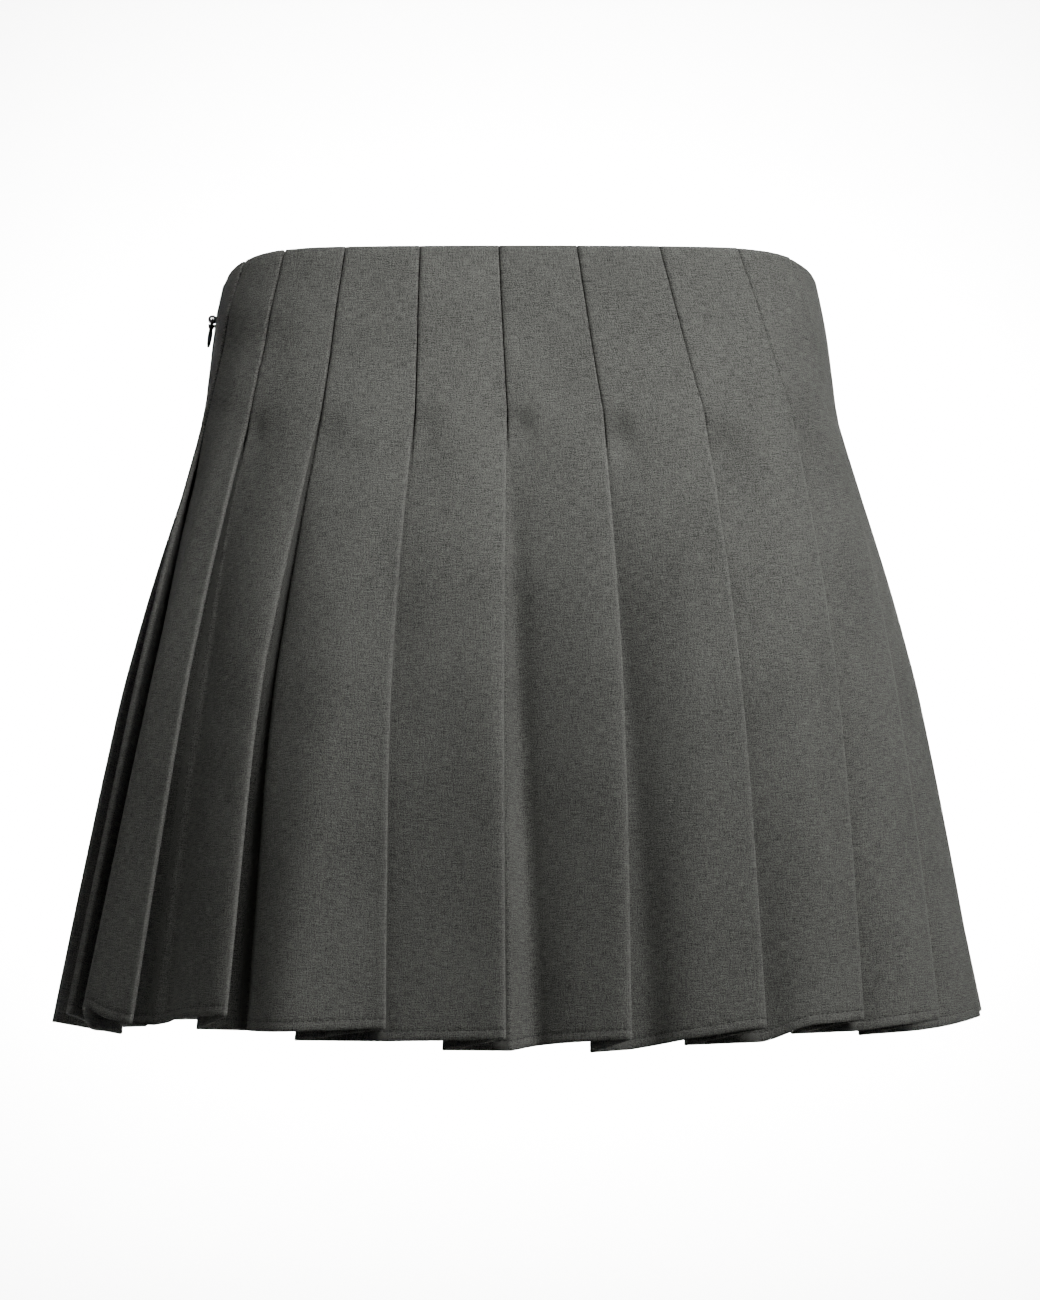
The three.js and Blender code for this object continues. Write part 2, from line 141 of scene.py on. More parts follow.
EARLY_DIP, DIP_RUN = 0.3, 0.3  # share of a dip above its start, and share of the length until it is whole
LET_GO_RUN = 0.08  # share of the length over which a pleat lets go of its sewing
SHELF_PLACE = 0.12  # the shelf's place, as a share of the way from the fold before to the valley
MIDDLE_PLACE, NEAR_PLACE = 0.5, 0.15  # places back from the fold edge, as shares of the bend's

# Stations round a pleat, in order, each with the reach of its rounded corner in millimetres and the
# number of straight steps to the next one. A fold has two corners.
STATIONS = ["shelf", "valley", "bend", "middle", "near", "fold", "inner"]
CORNERS = {
    "edge": (0, 4),
    "shelf": (1.2, 1),
    "valley": (6, 5),
    "bend": (15, 4),
    "middle": (12, 4),
    "near": (3.5, 1),
    "fold": (0.65, 0),
    "fold_back": (0.65, 6),
    "inner": (0.65, 0),
    "inner_back": (0.65, 5),
}
ARC_STEPS = 3

# Soft creases: place as a share of the half girth and of the length, half length and half width in
# millimetres, slope of the crease against level, and how far it stands out
CREASES = np.array([
    # place, level, reach, width, slope, height
    [0.13, 0.05, 34, 6, 0.25, 0.7],
    [0.16, 0.12, 38, 7, 0.15, -0.6],
    [0.18, 0.17, 30, 6, -0.2, 0.5],
    [0.27, 0.09, 26, 7, 0.1, 0.35],
    [0.35, 0.15, 30, 8, -0.1, -0.4],
    [0.44, 0.06, 28, 7, 0.12, 0.3],
    [0.53, 0.14, 30, 8, 0.08, 0.35],
    [0.62, 0.07, 26, 7, -0.12, -0.35],
    [0.72, 0.16, 34, 8, 0.15, 0.4],
    [0.83, 0.1, 36, 9, 0.2, 0.5],
    [0.9, 0.2, 30, 8, -0.2, -0.5],
    [1.1, 0.08, 34, 7, 0.2, 0.5],
    [1.27, 0.15, 32, 8, -0.15, 0.4],
    [1.45, 0.07, 30, 7, 0.1, -0.4],
    [1.6, 0.16, 34, 8, 0.15, 0.4],
    [1.78, 0.09, 30, 7, -0.2, 0.5],
    [1.92, 0.16, 30, 7, 0.2, -0.5],
    # a swelling beside the deepest fold, then dimples beside the places where the pleats let go
    [0.322, 0.44, 17, 42, 0, 1.9],
    [0.226, 0.24, 6, 10, 0, -1.6],
    [0.312, 0.245, 6, 10, 0, -1.4],
    [0.408, 0.235, 6, 10, 0, -1.7],
    [0.501, 0.235, 6, 10, 0, -3.0],
    [0.598, 0.245, 6, 10, 0, -2.8],
    [0.699, 0.255, 6, 10, 0, -1.5],
    [0.802, 0.24, 6, 10, 0, -1.2],
    [1.12, 0.24, 6, 10, 0, -1.8],
    [1.21, 0.235, 7, 12, 0, -1.0],
    [1.39, 0.245, 6, 10, 0, -2.6],
    [1.48, 0.24, 6, 10, 0, -1.6],
    [1.66, 0.25, 6, 10, 0, -2.2],
    [1.85, 0.24, 7, 12, 0, -1.0],
])

# Furrows pressed along the valley beside a fold, deepest at the level: reach is the half width, width the
# half length, in millimetres
FURROWS = [
    # pleat, level, reach, width, depth
    (3, 0.6, 7, 90, 0.7),
    (4, 0.42, 6, 42, 2.4),
    (5, 0.5, 8, 55, 1.5),
    (6, 0.58, 7, 85, 3.4),
    (7, 0.62, 9, 90, 2.1),
    (13, 0.6, 7, 90, 1.2),
    (16, 0.62, 8, 95, 1.5),
    (18, 0.6, 7, 90, 1.1),
]


def smoothstep(x, low, high):
    """0 below low, 1 above high and a smooth cubic between them."""
    t = np.clip((x - low) / (high - low), 0, 1)
    return t * t * (3 - 2 * t)


def lerp(a, b, t):
    """The value a share t of the way from a to b."""
    return a + (b - a) * t


def signed_power(values, power):
    """The values raised to a power with their signs kept."""
    return np.sign(values) * np.abs(values) ** power


def unit(vectors):
    """The vectors at length 1, along their last axis."""
    return vectors / np.maximum(np.linalg.norm(vectors, axis=-1, keepdims=True), 1e-9)


# ---------------------------------------------------------------- form of the cloth


def read_softly(at, table_x, table_y, soft):
    """A table's straight lines read at `at`, with corners rounded by a mean of three places `soft` apart."""
    taps = at[:, None] + soft[:, None] * np.array([-1, 0, 1])
    return np.interp(taps, table_x, table_y) @ np.array([0.25, 0.5, 0.25])


def section_sizes(levels):
    """Half width, half depth and power of the section at each level, from SECTIONS, corners rounded."""
    down = levels * SIDE_LENGTH
    soft = np.minimum(SOFTENING, np.minimum(down, SIDE_LENGTH - down))
    return [read_softly(down, SECTIONS[:, 0], SECTIONS[:, column], soft) for column in (1, 2, 3)]


class Outline:
    """Sections |x/a|^n + |y/b|^n = 1, one a level, read by the girth, anticlockwise from the wearer's left.

    x = a cos^(2/n) and y = b sin^(2/n) over half a turn; the other half is the same turned by 180 degrees."""

    def __init__(self, levels):
        self.a, self.b, self.n = section_sizes(levels)
        turn = np.linspace(0, np.pi, 721)
        power = (2 / self.n)[:, None]
        self.x = self.a[:, None] * signed_power(np.cos(turn), power)
        self.y = self.b[:, None] * np.abs(np.sin(turn)) ** power
        steps = np.hypot(np.diff(self.x), np.diff(self.y))
        girth = np.concatenate([np.zeros((len(levels), 1)), np.cumsum(steps, axis=1)], axis=1)
        self.half = girth[:, -1]
        self.share = girth / self.half[:, None]

    def at(self, girth, out):
        """Points at a girth, moved out along the section's normal: [level, place] to [level, place, 2]."""
        turns = np.floor(girth / self.half[:, None])
        side = np.where(turns % 2 == 0, 1.0, -1.0)
        rest = girth / self.half[:, None] - turns
        row = 2.0 * np.arange(len(self.half))[:, None]
        table = (self.share + row).ravel()
        x = np.interp(rest + row, table, self.x.ravel())
        y = np.interp(rest + row, table, self.y.ravel())
        n, a, b = self.n[:, None], self.a[:, None], self.b[:, None]
        normal = unit(np.stack([
            signed_power(x / a, n - 1) / a,
            signed_power(y / b, n - 1) / b,
        ], axis=-1))
        return side[..., None] * (np.stack([x, y], axis=-1) + normal * out[..., None])


def opening(levels):
    """0 down to where the pleats let go, then growing to 1 at the hem."""
    return np.clip((levels - SEWN_SHARE) / (1 - SEWN_SHARE), 0, 1) ** OPENING_POWER


def fold_shares(levels):
    """Places of the 22 fold edges as shares of the half girth, [level, pleat]."""
    soft = np.clip(np.minimum(levels - SEWN_SHARE, 1 - levels) / 2, 0, 0.1)
    back = np.stack([read_softly(levels, PLACE_LEVELS, row[:PLACES], soft) for row in BACK_PLEATS], axis=1)
    number = np.arange(1, PLEATS_A_PANEL + 1) / (PLEATS_A_PANEL + 1)
    shift = FRONT_PLEATS[:, 0] * opening(levels)[:, None] / Outline(np.array([1.0])).half[0]
    front = lerp(back[:, -1:], back[:, :1] + 2, number) + shift
    return np.concatenate([back, front], axis=1)


def pleat_stations(levels, outline, cut):
    """Girth, out and hem of the seven stations of the 22 pleats, each [level, pleat, station].

    Each station's girth is measured from a fold edge and its out from the section, and both grow from
    their sewn size to the table's with opening(level)."""
    own = PLEAT_FORMS
    before = {name: np.roll(column, 1) for name, column in own.items()}
    level = levels[:, None]
    grown = opening(level)
    loose = smoothstep(level, SEWN_SHARE, SEWN_SHARE + LET_GO_RUN)
    dipping = smoothstep(level, own["starts"], own["starts"] + DIP_RUN)
    dipping = grown**DIP_POWER * lerp(EARLY_DIP, 1, dipping)
    share = fold_shares(levels)
    half = outline.half[:, None]
    fold = share * half
    fold_before = np.roll(share, 1, axis=1)
    fold_before[:, 0] -= 2
    fold_before *= half
    under = lerp(SEWN_UNDER, own["under"], grown)
    bend = lerp(SEWN_UNDER + 2, own["bend"], grown)
    pressed = 2 * cut.layer_step
    girth = [
        fold_before + cut.groove - 0.2 + SHELF_PLACE * own["valley"] * grown,
        fold_before + cut.groove + own["valley"] * grown,
        fold - bend,
        fold - MIDDLE_PLACE * bend,
        fold - NEAR_PLACE * bend,
        fold,
        fold - under,
    ]
    out = [
        -pressed - own["shelf"] * dipping,
        -0.3 * (1 - loose) - pressed * loose - own["dip"] * dipping,
        own["crest"] * grown,
        lerp(own["crest"], own["lift"], 0.6) * grown,
        0.95 * own["lift"] * grown,
        own["lift"] * grown - cut.layer_step / 2,
        -1.5 * cut.layer_step - own["sink"] * grown,
    ]
    inner_hem = before["hemline"] + before["hang"]
    hem = [
        lerp(inner_hem, own["hemline"], 0.1),
        lerp(inner_hem, own["hemline"], 0.25),
        lerp(inner_hem, own["hemline"], 0.6) - own["rise"],
        lerp(inner_hem, own["hemline"], 0.85) - 0.3 * own["rise"],
        own["hemline"],
        own["hemline"],
        own["hemline"] + own["hang"],
    ]
    whole = np.ones_like(grown)
    return np.stack(girth, -1), np.stack(out, -1), np.stack([h * whole for h in hem], -1)


def hairpin(before, tip, after, step):
    """A fold's two corners, one layer step apart across the fold's own direction."""
    axis = unit(unit(tip - before) + unit(tip - after))
    across = np.stack([-axis[..., 1], axis[..., 0]], axis=-1)
    across *= np.sign(np.sum(across * (before - after), axis=-1, keepdims=True))
    return tip + across * step / 2, tip - across * step / 2


def slit(seam, levels):
    """Distance between the panels' edges: wider round the zip's slider on the wearer's left seam."""
    if seam % 2:
        return np.full(len(levels), SEAM_GAP)
    return lerp(ZIP_SLIT, SEAM_GAP, smoothstep(levels, 0.06, 0.1))


def waist_height(y):
    """Height of the waist edge at a depth y: level at the back and the front, with a slope over the hips."""
    depth = SECTIONS[0, 2]
    return WAIST_TILT * np.sign(y) * smoothstep(np.abs(y) / depth, 0.1, 0.9)


def seam_points(pleat, levels, flat, cut):
    """Middle of the seam in a pleat's panel, half way from its valley to its bend, and the way along it."""
    along = unit(flat[:, pleat, 2] - flat[:, pleat, 1])
    middle = (flat[:, pleat, 1] + flat[:, pleat, 2]) / 2
    return middle + along * (SOLID_GROOVE - cut.groove) / 2, along


class PanelLine:
    """A panel's middle line: its corners, then the smooth line through them, at each level.

    points is [level, place, 4] with x, y, z and the share of the half girth; pleat numbers each place's
    pleat; fold_at is the place of each fold edge."""

    def __init__(self, panel, levels, cut):
        self.levels = levels
        outline = Outline(levels)
        girth, out, hem = pleat_stations(levels, outline, cut)
        count = len(levels)
        flat = outline.at(girth.reshape(count, -1), out.reshape(count, -1)).reshape(*girth.shape, 2)
        share = girth / outline.half[:, None, None]
        names, columns, pleats = [], [], []

        def add(name, point, pleat, station):
            here = pleat % PLEATS
            low = hem[:, here, station] if np.isscalar(station) else hem[:, here, station].mean(axis=1)
            at = share[:, here, station] if np.isscalar(station) else share[:, here, station].mean(axis=1)
            names.append(name)
            pleats.append(pleat)
            columns.append(np.column_stack([point, low, at]))

        def add_seam(pleat, side):
            point, along = seam_points(pleat % PLEATS, levels, flat, cut)
            gap = slit(pleat // PLEATS_A_PANEL, levels)[:, None]
            add("edge", point + side * along * gap / 2, pleat, [1, 2])

        first = panel * PLEATS_A_PANEL
        last = first + PLEATS_A_PANEL
        add_seam(first, 1)
        for pleat in range(first, last + 1):
            here = pleat % PLEATS
            for k, name in enumerate(STATIONS):
                beyond = (pleat == first and k < 2) or (pleat == last and k > 1)
                if beyond:
                    continue
                if name not in ("fold", "inner"):
                    add(name, flat[:, here, k], pleat, k)
                    continue
                after = flat[:, here, k + 1] if name == "fold" else flat[:, (pleat + 1) % PLEATS, 0]
                one, two = hairpin(flat[:, here, k - 1], flat[:, here, k], after, cut.layer_step)
                add(name, one, pleat, k)
                add(name + "_back", two, pleat, k)
        add_seam(last, -1)
        corners = np.stack(columns, axis=1)
        tops = waist_height(corners[0, :, 1])
        corners[..., 2] = lerp(tops, -corners[..., 2], levels[:, None])
        self.smooth(corners, names, pleats)

    def smooth(self, corners, names, pleats):
        """Cuts each corner to a quadratic arc, no longer than 0.45 of its neighbours' runs, and divides the
        straight runs between the arcs."""
        length = np.linalg.norm(np.diff(corners[..., :2], axis=1), axis=-1)
        reach = np.array([CORNERS[name][0] for name in names])
        zero = np.zeros((len(corners), 1))
        into = np.concatenate([zero, np.minimum(reach[1:], 0.45 * length)], axis=1)
        away = np.concatenate([np.minimum(reach[:-1], 0.45 * length), zero], axis=1)
        into, away = np.minimum(into, 3 * away), np.minimum(away, 3 * into)
        columns, owners, self.fold_at = [], [], []
        end = len(names) - 1
        arc = np.linspace(0, 1, ARC_STEPS + 1)
        for k, name in enumerate(names):
            corner = corners[:, k]
            last_out = corner
            if k in (0, end):
                columns.append(corner)
            else:
                start = lerp(corner, corners[:, k - 1], (into[:, k] / length[:, k - 1])[:, None])
                last_out = lerp(corner, corners[:, k + 1], (away[:, k] / length[:, k])[:, None])
                columns += [(1 - t) ** 2 * start + 2 * t * (1 - t) * corner + t**2 * last_out for t in arc]
            if name == "fold":
                self.fold_at.append(len(columns) - 1)
            if k < end:
                share = (into[:, k + 1] / length[:, k])[:, None]
                next_in = lerp(corners[:, k + 1], corner, share)
                runs = CORNERS[name][1]
                columns += [lerp(last_out, next_in, j / runs) for j in range(1, runs)]
            owners += [pleats[k]] * (len(columns) - len(owners))
        self.points = np.stack(columns, axis=1)
        self.pleat = np.array(owners)

    def crease(self):
        """Moves the line out along the section's normal by the soft creases and in by the furrows: each is a
        Gaussian across its line times a Gaussian along it. A furrow's line follows its pleat's valley."""
        outline = Outline(self.levels)
        share = self.points[..., 3]
        half = outline.half[:, None]
        folds = fold_shares(self.levels)
        grown = opening(self.levels)[:, None]
        forms = [tuple(row) for row in CREASES]
        for pleat, level, reach, width, depth in FURROWS:
            valley = folds[:, pleat - 1, None] + PLEAT_FORMS["valley"][pleat] * grown / half
            forms.append((valley, level, reach, width, 0, -depth))
        total = np.zeros_like(share)
        for place, level, reach, width, slope, height in forms:
            along = ((share - place + 1) % 2 - 1) * half
            down = (self.levels[:, None] - level) * SIDE_LENGTH - slope * along
            total += height * np.exp(-((along / reach) ** 2) - (down / width) ** 2)
        here = outline.at(share * half, 0 * share)
        outwards = outline.at(share * half, 0 * share + 1) - here
        self.points[..., :2] += outwards * total[..., None]

    def weave_map(self):
        """Cloth coordinates in metres: across from each pleat's own fold edge, and down from the waist."""
        step = np.linalg.norm(np.diff(self.points[..., :3], axis=1), axis=-1)
        run = np.concatenate([np.zeros((len(step), 1)), np.cumsum(step, axis=1)], axis=1)
        folds = run[:, self.fold_at]
        number = np.clip(self.pleat - self.pleat[0], 0, len(self.fold_at) - 1)
        drop = np.linalg.norm(np.diff(self.points[..., :3], axis=0), axis=-1)
        down = np.concatenate([np.zeros((1, drop.shape[1])), np.cumsum(drop, axis=0)], axis=0)
        apart = 350.0  # one pleat's threads start this far along from the last one's
        across = run - folds[:, number] + apart * (self.pleat + 1)
        nearest = np.min(np.abs(run[:, :, None] - folds[:, None, :]), axis=-1)
        return np.stack([across, down], axis=-1) * MM, nearest


def offset(points, out):
    """Each level's line moved to its right-hand side by out, one value or one a level, with its corners."""
    step = unit(np.diff(points[..., :2], axis=1))
    into = np.concatenate([step[:, :1], step], axis=1)
    away = np.concatenate([step, step[:, -1:]], axis=1)
    mean = unit(into + away)
    reach = np.asarray(out).reshape(-1, 1) / np.maximum(0.6, np.sum(mean * away, axis=-1))
    moved = points.copy()
    moved[..., 0] += mean[..., 1] * reach
    moved[..., 1] -= mean[..., 0] * reach
    return moved


TOP_EDGE, BOTTOM_EDGE = 0.0035, 0.9985  # beyond these levels the cloth's edges are rounded
HEM_STEP = (0.9825, 0.985)  # between these levels the cloth thickens to the turned-up hem
STITCH_ROW = -5  # the row of cloth_levels that the hem's stitches lie on


def cloth_levels():
    """Levels of the cloth's rows, closest where the pleats let go and in the hem."""
    return np.concatenate([
        [0, TOP_EDGE],
        np.linspace(0.015, SEWN_SHARE - 0.015, 9),
        np.linspace(SEWN_SHARE - 0.008, SEWN_SHARE + 0.1, 15),
        np.linspace(SEWN_SHARE + 0.12, 0.968, 34),
        [0.976, *HEM_STEP, 0.9868, 0.989, 0.994, BOTTOM_EDGE, 1.0],
    ])


# ---------------------------------------------------------------- meshes


def new_piece(name, vertices, faces, material, body="skirt", uv=None, values=None, sharp=50):
    """A smooth-shaded mesh object at the origin. vertices is [n, 3] in metres; faces is [m, 4], in which a
    triangle repeats its last corner; uv and values are one a vertex."""
    mesh = bpy.data.meshes.new(name)
    triangles = faces[:, 2] == faces[:, 3]
    sizes = np.where(triangles, 3, 4)
    loops = faces[np.arange(4) < sizes[:, None]]
    mesh.vertices.add(len(vertices))
    mesh.vertices.foreach_set("co", np.ascontiguousarray(vertices, np.float32).ravel())
    mesh.loops.add(len(loops))
    mesh.loops.foreach_set("vertex_index", loops.astype(np.int32))
    mesh.polygons.add(len(faces))
    mesh.polygons.foreach_set("loop_start", np.concatenate([[0], np.cumsum(sizes)[:-1]]).astype(np.int32))
    mesh.update(calc_edges=True)
    if mesh.validate():
        raise RuntimeError(f"{name} has faces that Blender had to mend")
    mesh.polygons.foreach_set("use_smooth", np.ones(len(faces), bool))
    if uv is not None:
        layer = mesh.uv_layers.new(name="Weave")
        layer.uv.foreach_set("vector", np.ascontiguousarray(uv[loops], np.float32).ravel())
    for key, column in (values or {}).items():
        attribute = mesh.attributes.new(key, "FLOAT", "POINT")
        attribute.data.foreach_set("value", np.ascontiguousarray(column, np.float32).ravel())
    mesh.set_sharp_from_angle(angle=math.radians(sharp))
    mesh.materials.append(material)
    piece = bpy.data.objects.new(name, mesh)
    bpy.context.scene.collection.objects.link(piece)
    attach(piece, body)
    return piece


def grid_faces(rows, columns, start=0, round_rows=False, flip=False):
    """Quads of a grid of rows by columns, numbered row by row; round_rows joins a row's end to its start."""
    r = np.arange(rows - 1)[:, None]
    c = np.arange(columns if round_rows else columns - 1)[None, :]
    after = (c + 1) % columns
    corners = [r * columns + c, (r + 1) * columns + c, (r + 1) * columns + after, r * columns + after]
    faces = np.stack([corner + start for corner in corners], axis=-1).reshape(-1, 4)
    return faces[:, ::-1] if flip else faces


def shell_faces(rows, columns):
    """Quads of a closed wall: an outer grid, then an inner one, and the four edges between them."""
    size = rows * columns
    left, right = np.arange(rows) * columns, np.arange(rows) * columns + columns - 1
    top, bottom = np.arange(columns), np.arange(columns) + size - columns
    edges = []
    for line, turn in ((left, 1), (right, 0), (top, 0), (bottom, 1)):
        a, b = (line[:-1], line[1:]) if turn else (line[1:], line[:-1])
        edges.append(np.stack([b, a, a + size, b + size], axis=-1))
    return np.concatenate([
        grid_faces(rows, columns),
        grid_faces(rows, columns, start=size, flip=True),
        *edges,
    ])


def capped_rings(rings):
    """A closed skin over rings [n, sides, 3] in millimetres: quads from ring to ring and a fan over each end,
    turned to face outwards by the sign of its volume."""
    count, sides = rings.shape[:2]
    vertices = np.concatenate([rings.reshape(-1, 3), rings[0].mean(0)[None], rings[-1].mean(0)[None]])
    here = np.arange(sides)
    after = (here + 1) % sides
    first, last = np.full(sides, count * sides), np.full(sides, count * sides + 1)
    far = (count - 1) * sides
    faces = np.concatenate([
        grid_faces(count, sides, round_rows=True),
        np.stack([first, here, after, after], axis=-1),
        np.stack([last, far + after, far + here, far + here], axis=-1),
    ])
    a, b, c, d = (vertices[faces[:, k]] for k in range(4))
    volume = np.sum(np.cross(a, b) * c) + np.sum(np.cross(a, c) * d)
    return vertices, faces if volume > 0 else np.stack([faces[:, k] for k in (1, 0, 3, 2)], axis=-1)


def joined(parts):
    """Several (vertices, faces) as one."""
    starts = np.cumsum([0] + [len(vertices) for vertices, _ in parts[:-1]])
    faces = [part[1] + start for part, start in zip(parts, starts)]
    return np.concatenate([part[0] for part in parts]), np.concatenate(faces)


def tube(path, across, radius, sides=8, closed=False):
    """A round tube: at each point of the path, a circle in the plane square to it. across is any direction
    not along the path. A closed one has its ends joined."""
    if closed:
        path = np.concatenate([path[-1:], path, path[:2]])
        across = np.concatenate([across[-1:], across, across[:2]])
    ahead = unit(np.gradient(path, axis=0))
    side = unit(across - np.sum(across * ahead, axis=-1, keepdims=True) * ahead)
    other = np.cross(ahead, side)
    turn = np.linspace(0, 2 * np.pi, sides, endpoint=False)[:, None]
    rings = path[:, None] + radius * (side[:, None] * np.cos(turn) + other[:, None] * np.sin(turn))
    if not closed:
        return capped_rings(rings)
    rings = rings[1:-2]
    count = len(rings)
    faces = grid_faces(count + 1, sides, round_rows=True) % (count * sides)
    return rings.reshape(-1, 3), faces


def block(half, centre, rounding=0.3):
    """A box with rounded edges: the superellipsoid x = a C(v) C(u), y = b C(v) S(u), z = c S(v), where C and
    S are the cosine and sine raised to a small power with their signs kept."""
    u = np.linspace(0, 2 * np.pi, 32, endpoint=False)[None, :]
    v = np.linspace(-np.pi / 2, np.pi / 2, 19)[1:-1, None]
    level = signed_power(np.cos(v), rounding)
    x, y = level * signed_power(np.cos(u), rounding), level * signed_power(np.sin(u), rounding)
    z = np.broadcast_to(signed_power(np.sin(v), rounding), x.shape)
    return capped_rings(np.stack([x, y, z], axis=-1) * np.array(half) + np.array(centre))


# ---------------------------------------------------------------- materials


def linear(code):
    """An sRGB hex value such as 565751 as linear red, green, blue and an alpha of 1."""
    channels = [int(code[i : i + 2], 16) / 255 for i in (0, 2, 4)]
    return [c / 12.92 if c <= 0.04045 else ((c + 0.055) / 1.055) ** 2.4 for c in channels] + [1.0]


def hex_of(colour):
    """A colour property's linear value as the six digits that linear() reads."""
    values = [12.92 * c if c <= 0.0031308 else 1.055 * c ** (1 / 2.4) - 0.055 for c in colour]
    return "".join(f"{round(255 * v):02x}" for v in values)


def add_node(tree, kind, inputs=None, **settings):
    """Adds a node, sets its properties, and sets or links its inputs: a value, or (node, output)."""
    node = tree.nodes.new(kind)
    for key, value in settings.items():
        setattr(node, key, value)
    for key, value in (inputs or {}).items():
        if isinstance(value, tuple) and isinstance(value[0], bpy.types.Node):
            tree.links.new(value[0].outputs[value[1]], node.inputs[key])
        else:
            node.inputs[key].default_value = value
    return node


def new_material(name):
    """An empty node material with its shader and output joined."""
    material = bpy.data.materials.new(name)
    material.use_nodes = True
    tree = material.node_tree
    tree.nodes.clear()
    shader = add_node(tree, "ShaderNodeBsdfPrincipled")
    add_node(tree, "ShaderNodeOutputMaterial", {"Surface": (shader, "BSDF")})
    return material, tree, shader


def material_named(name, make, *sizes):
    """The material of that name, made when it is first asked for."""
    return bpy.data.materials.get(name) or make(*sizes)


def per_mm(across, down):
    """Noise scale, for cloth coordinates in metres, whose spots are this many millimetres across and down."""
    return (1000 / across, 1000 / down, 1.0)


def worsted_wool(cloth):
    """Worsted wool, plain-woven from mixed grey yarns: matt, with short light and dark streaks both ways, a
    faint nap that lightens grazing faces, and a painted highlight that makes the fold edges a little lighter
    than the rest, where the light catches them."""
    material, tree, shader = new_material("worsted_wool")
    weave = add_node(tree, "ShaderNodeUVMap", uv_map="Weave")

    # threads lie about 0.45 mm apart, so a streak is one thread wide; single fibres are far finer than shows
    # and are drawn half a millimetre wide
    streak = cloth.streak / MM
    yarns = [
        # name, size across and down in millimetres, weight
        ("weft", 6.0, streak, 1.1),
        ("warp", streak, 5.5, 0.9),
        ("fibre", 0.55, 0.5, 2.3),
        ("cloud", 45.0, 60.0, 0.35),
    ]
    level = None
    for seed, (label, across, down, weight) in enumerate(yarns):
        scaled = add_node(
            tree, "ShaderNodeVectorMath", {0: (weave, "UV"), 1: per_mm(across, down)}, operation="MULTIPLY")
        noise = add_node(
            tree, "ShaderNodeTexNoise",
            {"Vector": (scaled, "Vector"), "W": 5.0 * seed, "Scale": 1.0, "Detail": 2.0, "Roughness": 0.55},
            noise_dimensions="4D", label=label)
        inputs = {0: (noise, "Fac"), 1: weight, 2: (level, "Value") if level else 0.0}
        level = add_node(tree, "ShaderNodeMath", inputs, operation="MULTIPLY_ADD")
    middle = sum(weight for _, _, _, weight in yarns) / 2
    spread = 0.4  # about one and a half standard deviations of the sum
    heather = add_node(
        tree, "ShaderNodeMapRange",
        {"Value": (level, "Value"), "From Min": middle - spread, "From Max": middle + spread})
    mixed = add_node(
        tree, "ShaderNodeMix",
        {
            "Factor": (heather, "Result"),
            "A": linear(hex_of(cloth.dark_yarn)),
            "B": linear(hex_of(cloth.light_yarn)),
        },
        data_type="RGBA")
    # painted highlight: a lighter colour laid along the fold edges, where the light catches them
    edge = add_node(tree, "ShaderNodeAttribute", attribute_name="pressed")
    painted_highlight = add_node(tree, "ShaderNodeMath", {0: (edge, "Fac"), 1: 0.3}, operation="MULTIPLY")
    colour = add_node(
        tree, "ShaderNodeMix",
        {"Factor": (painted_highlight, "Value"), "A": (mixed, "Result"), "B": linear(hex_of(cloth.edge_highlight_colour))},
        data_type="RGBA")
    relief = add_node(
        tree, "ShaderNodeBump",
        {"Height": (level, "Value"), "Strength": 0.35, "Distance": 0.0003})
    tree.links.new(colour.outputs["Result"], shader.inputs["Base Color"])
    tree.links.new(relief.outputs["Normal"], shader.inputs["Normal"])
    shader.inputs["Roughness"].default_value = 0.88
    shader.inputs["Specular IOR Level"].default_value = 0.25
    shader.inputs["Sheen Weight"].default_value = cloth.sheen
    shader.inputs["Sheen Roughness"].default_value = 0.45
    shader.inputs["Sheen Tint"].default_value = linear("c9c9c4")
    return material


def spun_thread(cloth):
    """Spun polyester sewing thread: two plies twisted, so the stitches are dark with a fine grain."""
    material, tree, shader = new_material("spun_polyester_thread")
    place = add_node(tree, "ShaderNodeTexCoord")
    grain = add_node(
        tree, "ShaderNodeTexNoise",
        {"Vector": (place, "Object"), "Scale": 1000 / 0.4, "Detail": 2.0})
    colour = add_node(
        tree, "ShaderNodeMix",
        {"Factor": (grain, "Fac"), "A": linear("1f201d"), "B": linear(hex_of(cloth.thread_colour))},
        data_type="RGBA")
    tree.links.new(colour.outputs["Result"], shader.inputs["Base Color"])
    shader.inputs["Roughness"].default_value = 0.6
    return material


def knitted_tape():
    """Warp-knitted polyester zip tape: fine ribs along its length, slightly glossy."""
    material, tree, shader = new_material("knitted_polyester_tape")
    weave = add_node(tree, "ShaderNodeUVMap", uv_map="Weave")
    scaled = add_node(
        tree, "ShaderNodeVectorMath", {0: (weave, "UV"), 1: per_mm(0.7, 0.9)}, operation="MULTIPLY")
    ribs = add_node(
        tree, "ShaderNodeTexWave",
        {"Vector": (scaled, "Vector"), "Scale": 1.0, "Distortion": 1.5, "Detail": 1.0},
        bands_direction="X")
    colour = add_node(
        tree, "ShaderNodeMix",
        {"Factor": (ribs, "Fac"), "A": linear("262723"), "B": linear("3b3c37")},
        data_type="RGBA")
    relief = add_node(tree, "ShaderNodeBump", {"Height": (ribs, "Fac"), "Strength": 0.4, "Distance": 0.0002})
    tree.links.new(colour.outputs["Result"], shader.inputs["Base Color"])
    tree.links.new(relief.outputs["Normal"], shader.inputs["Normal"])
    shader.inputs["Roughness"].default_value = 0.7
    return material


def nylon_coil():
    """Drawn nylon monofilament, dyed dark: smooth with a soft gloss and faint dye mottling."""
    material, tree, shader = new_material("dyed_nylon_monofilament")
    place = add_node(tree, "ShaderNodeTexCoord")
    mottle = add_node(
        tree, "ShaderNodeTexNoise", {"Vector": (place, "Object"), "Scale": 1000 / 6.0, "Detail": 2.0})
    colour = add_node(
        tree, "ShaderNodeMix",
        {"Factor": (mottle, "Fac"), "A": linear("2a2b28"), "B": linear("3f403c")},
        data_type="RGBA")
    tree.links.new(colour.outputs["Result"], shader.inputs["Base Color"])
    shader.inputs["Roughness"].default_value = 0.38
    return material


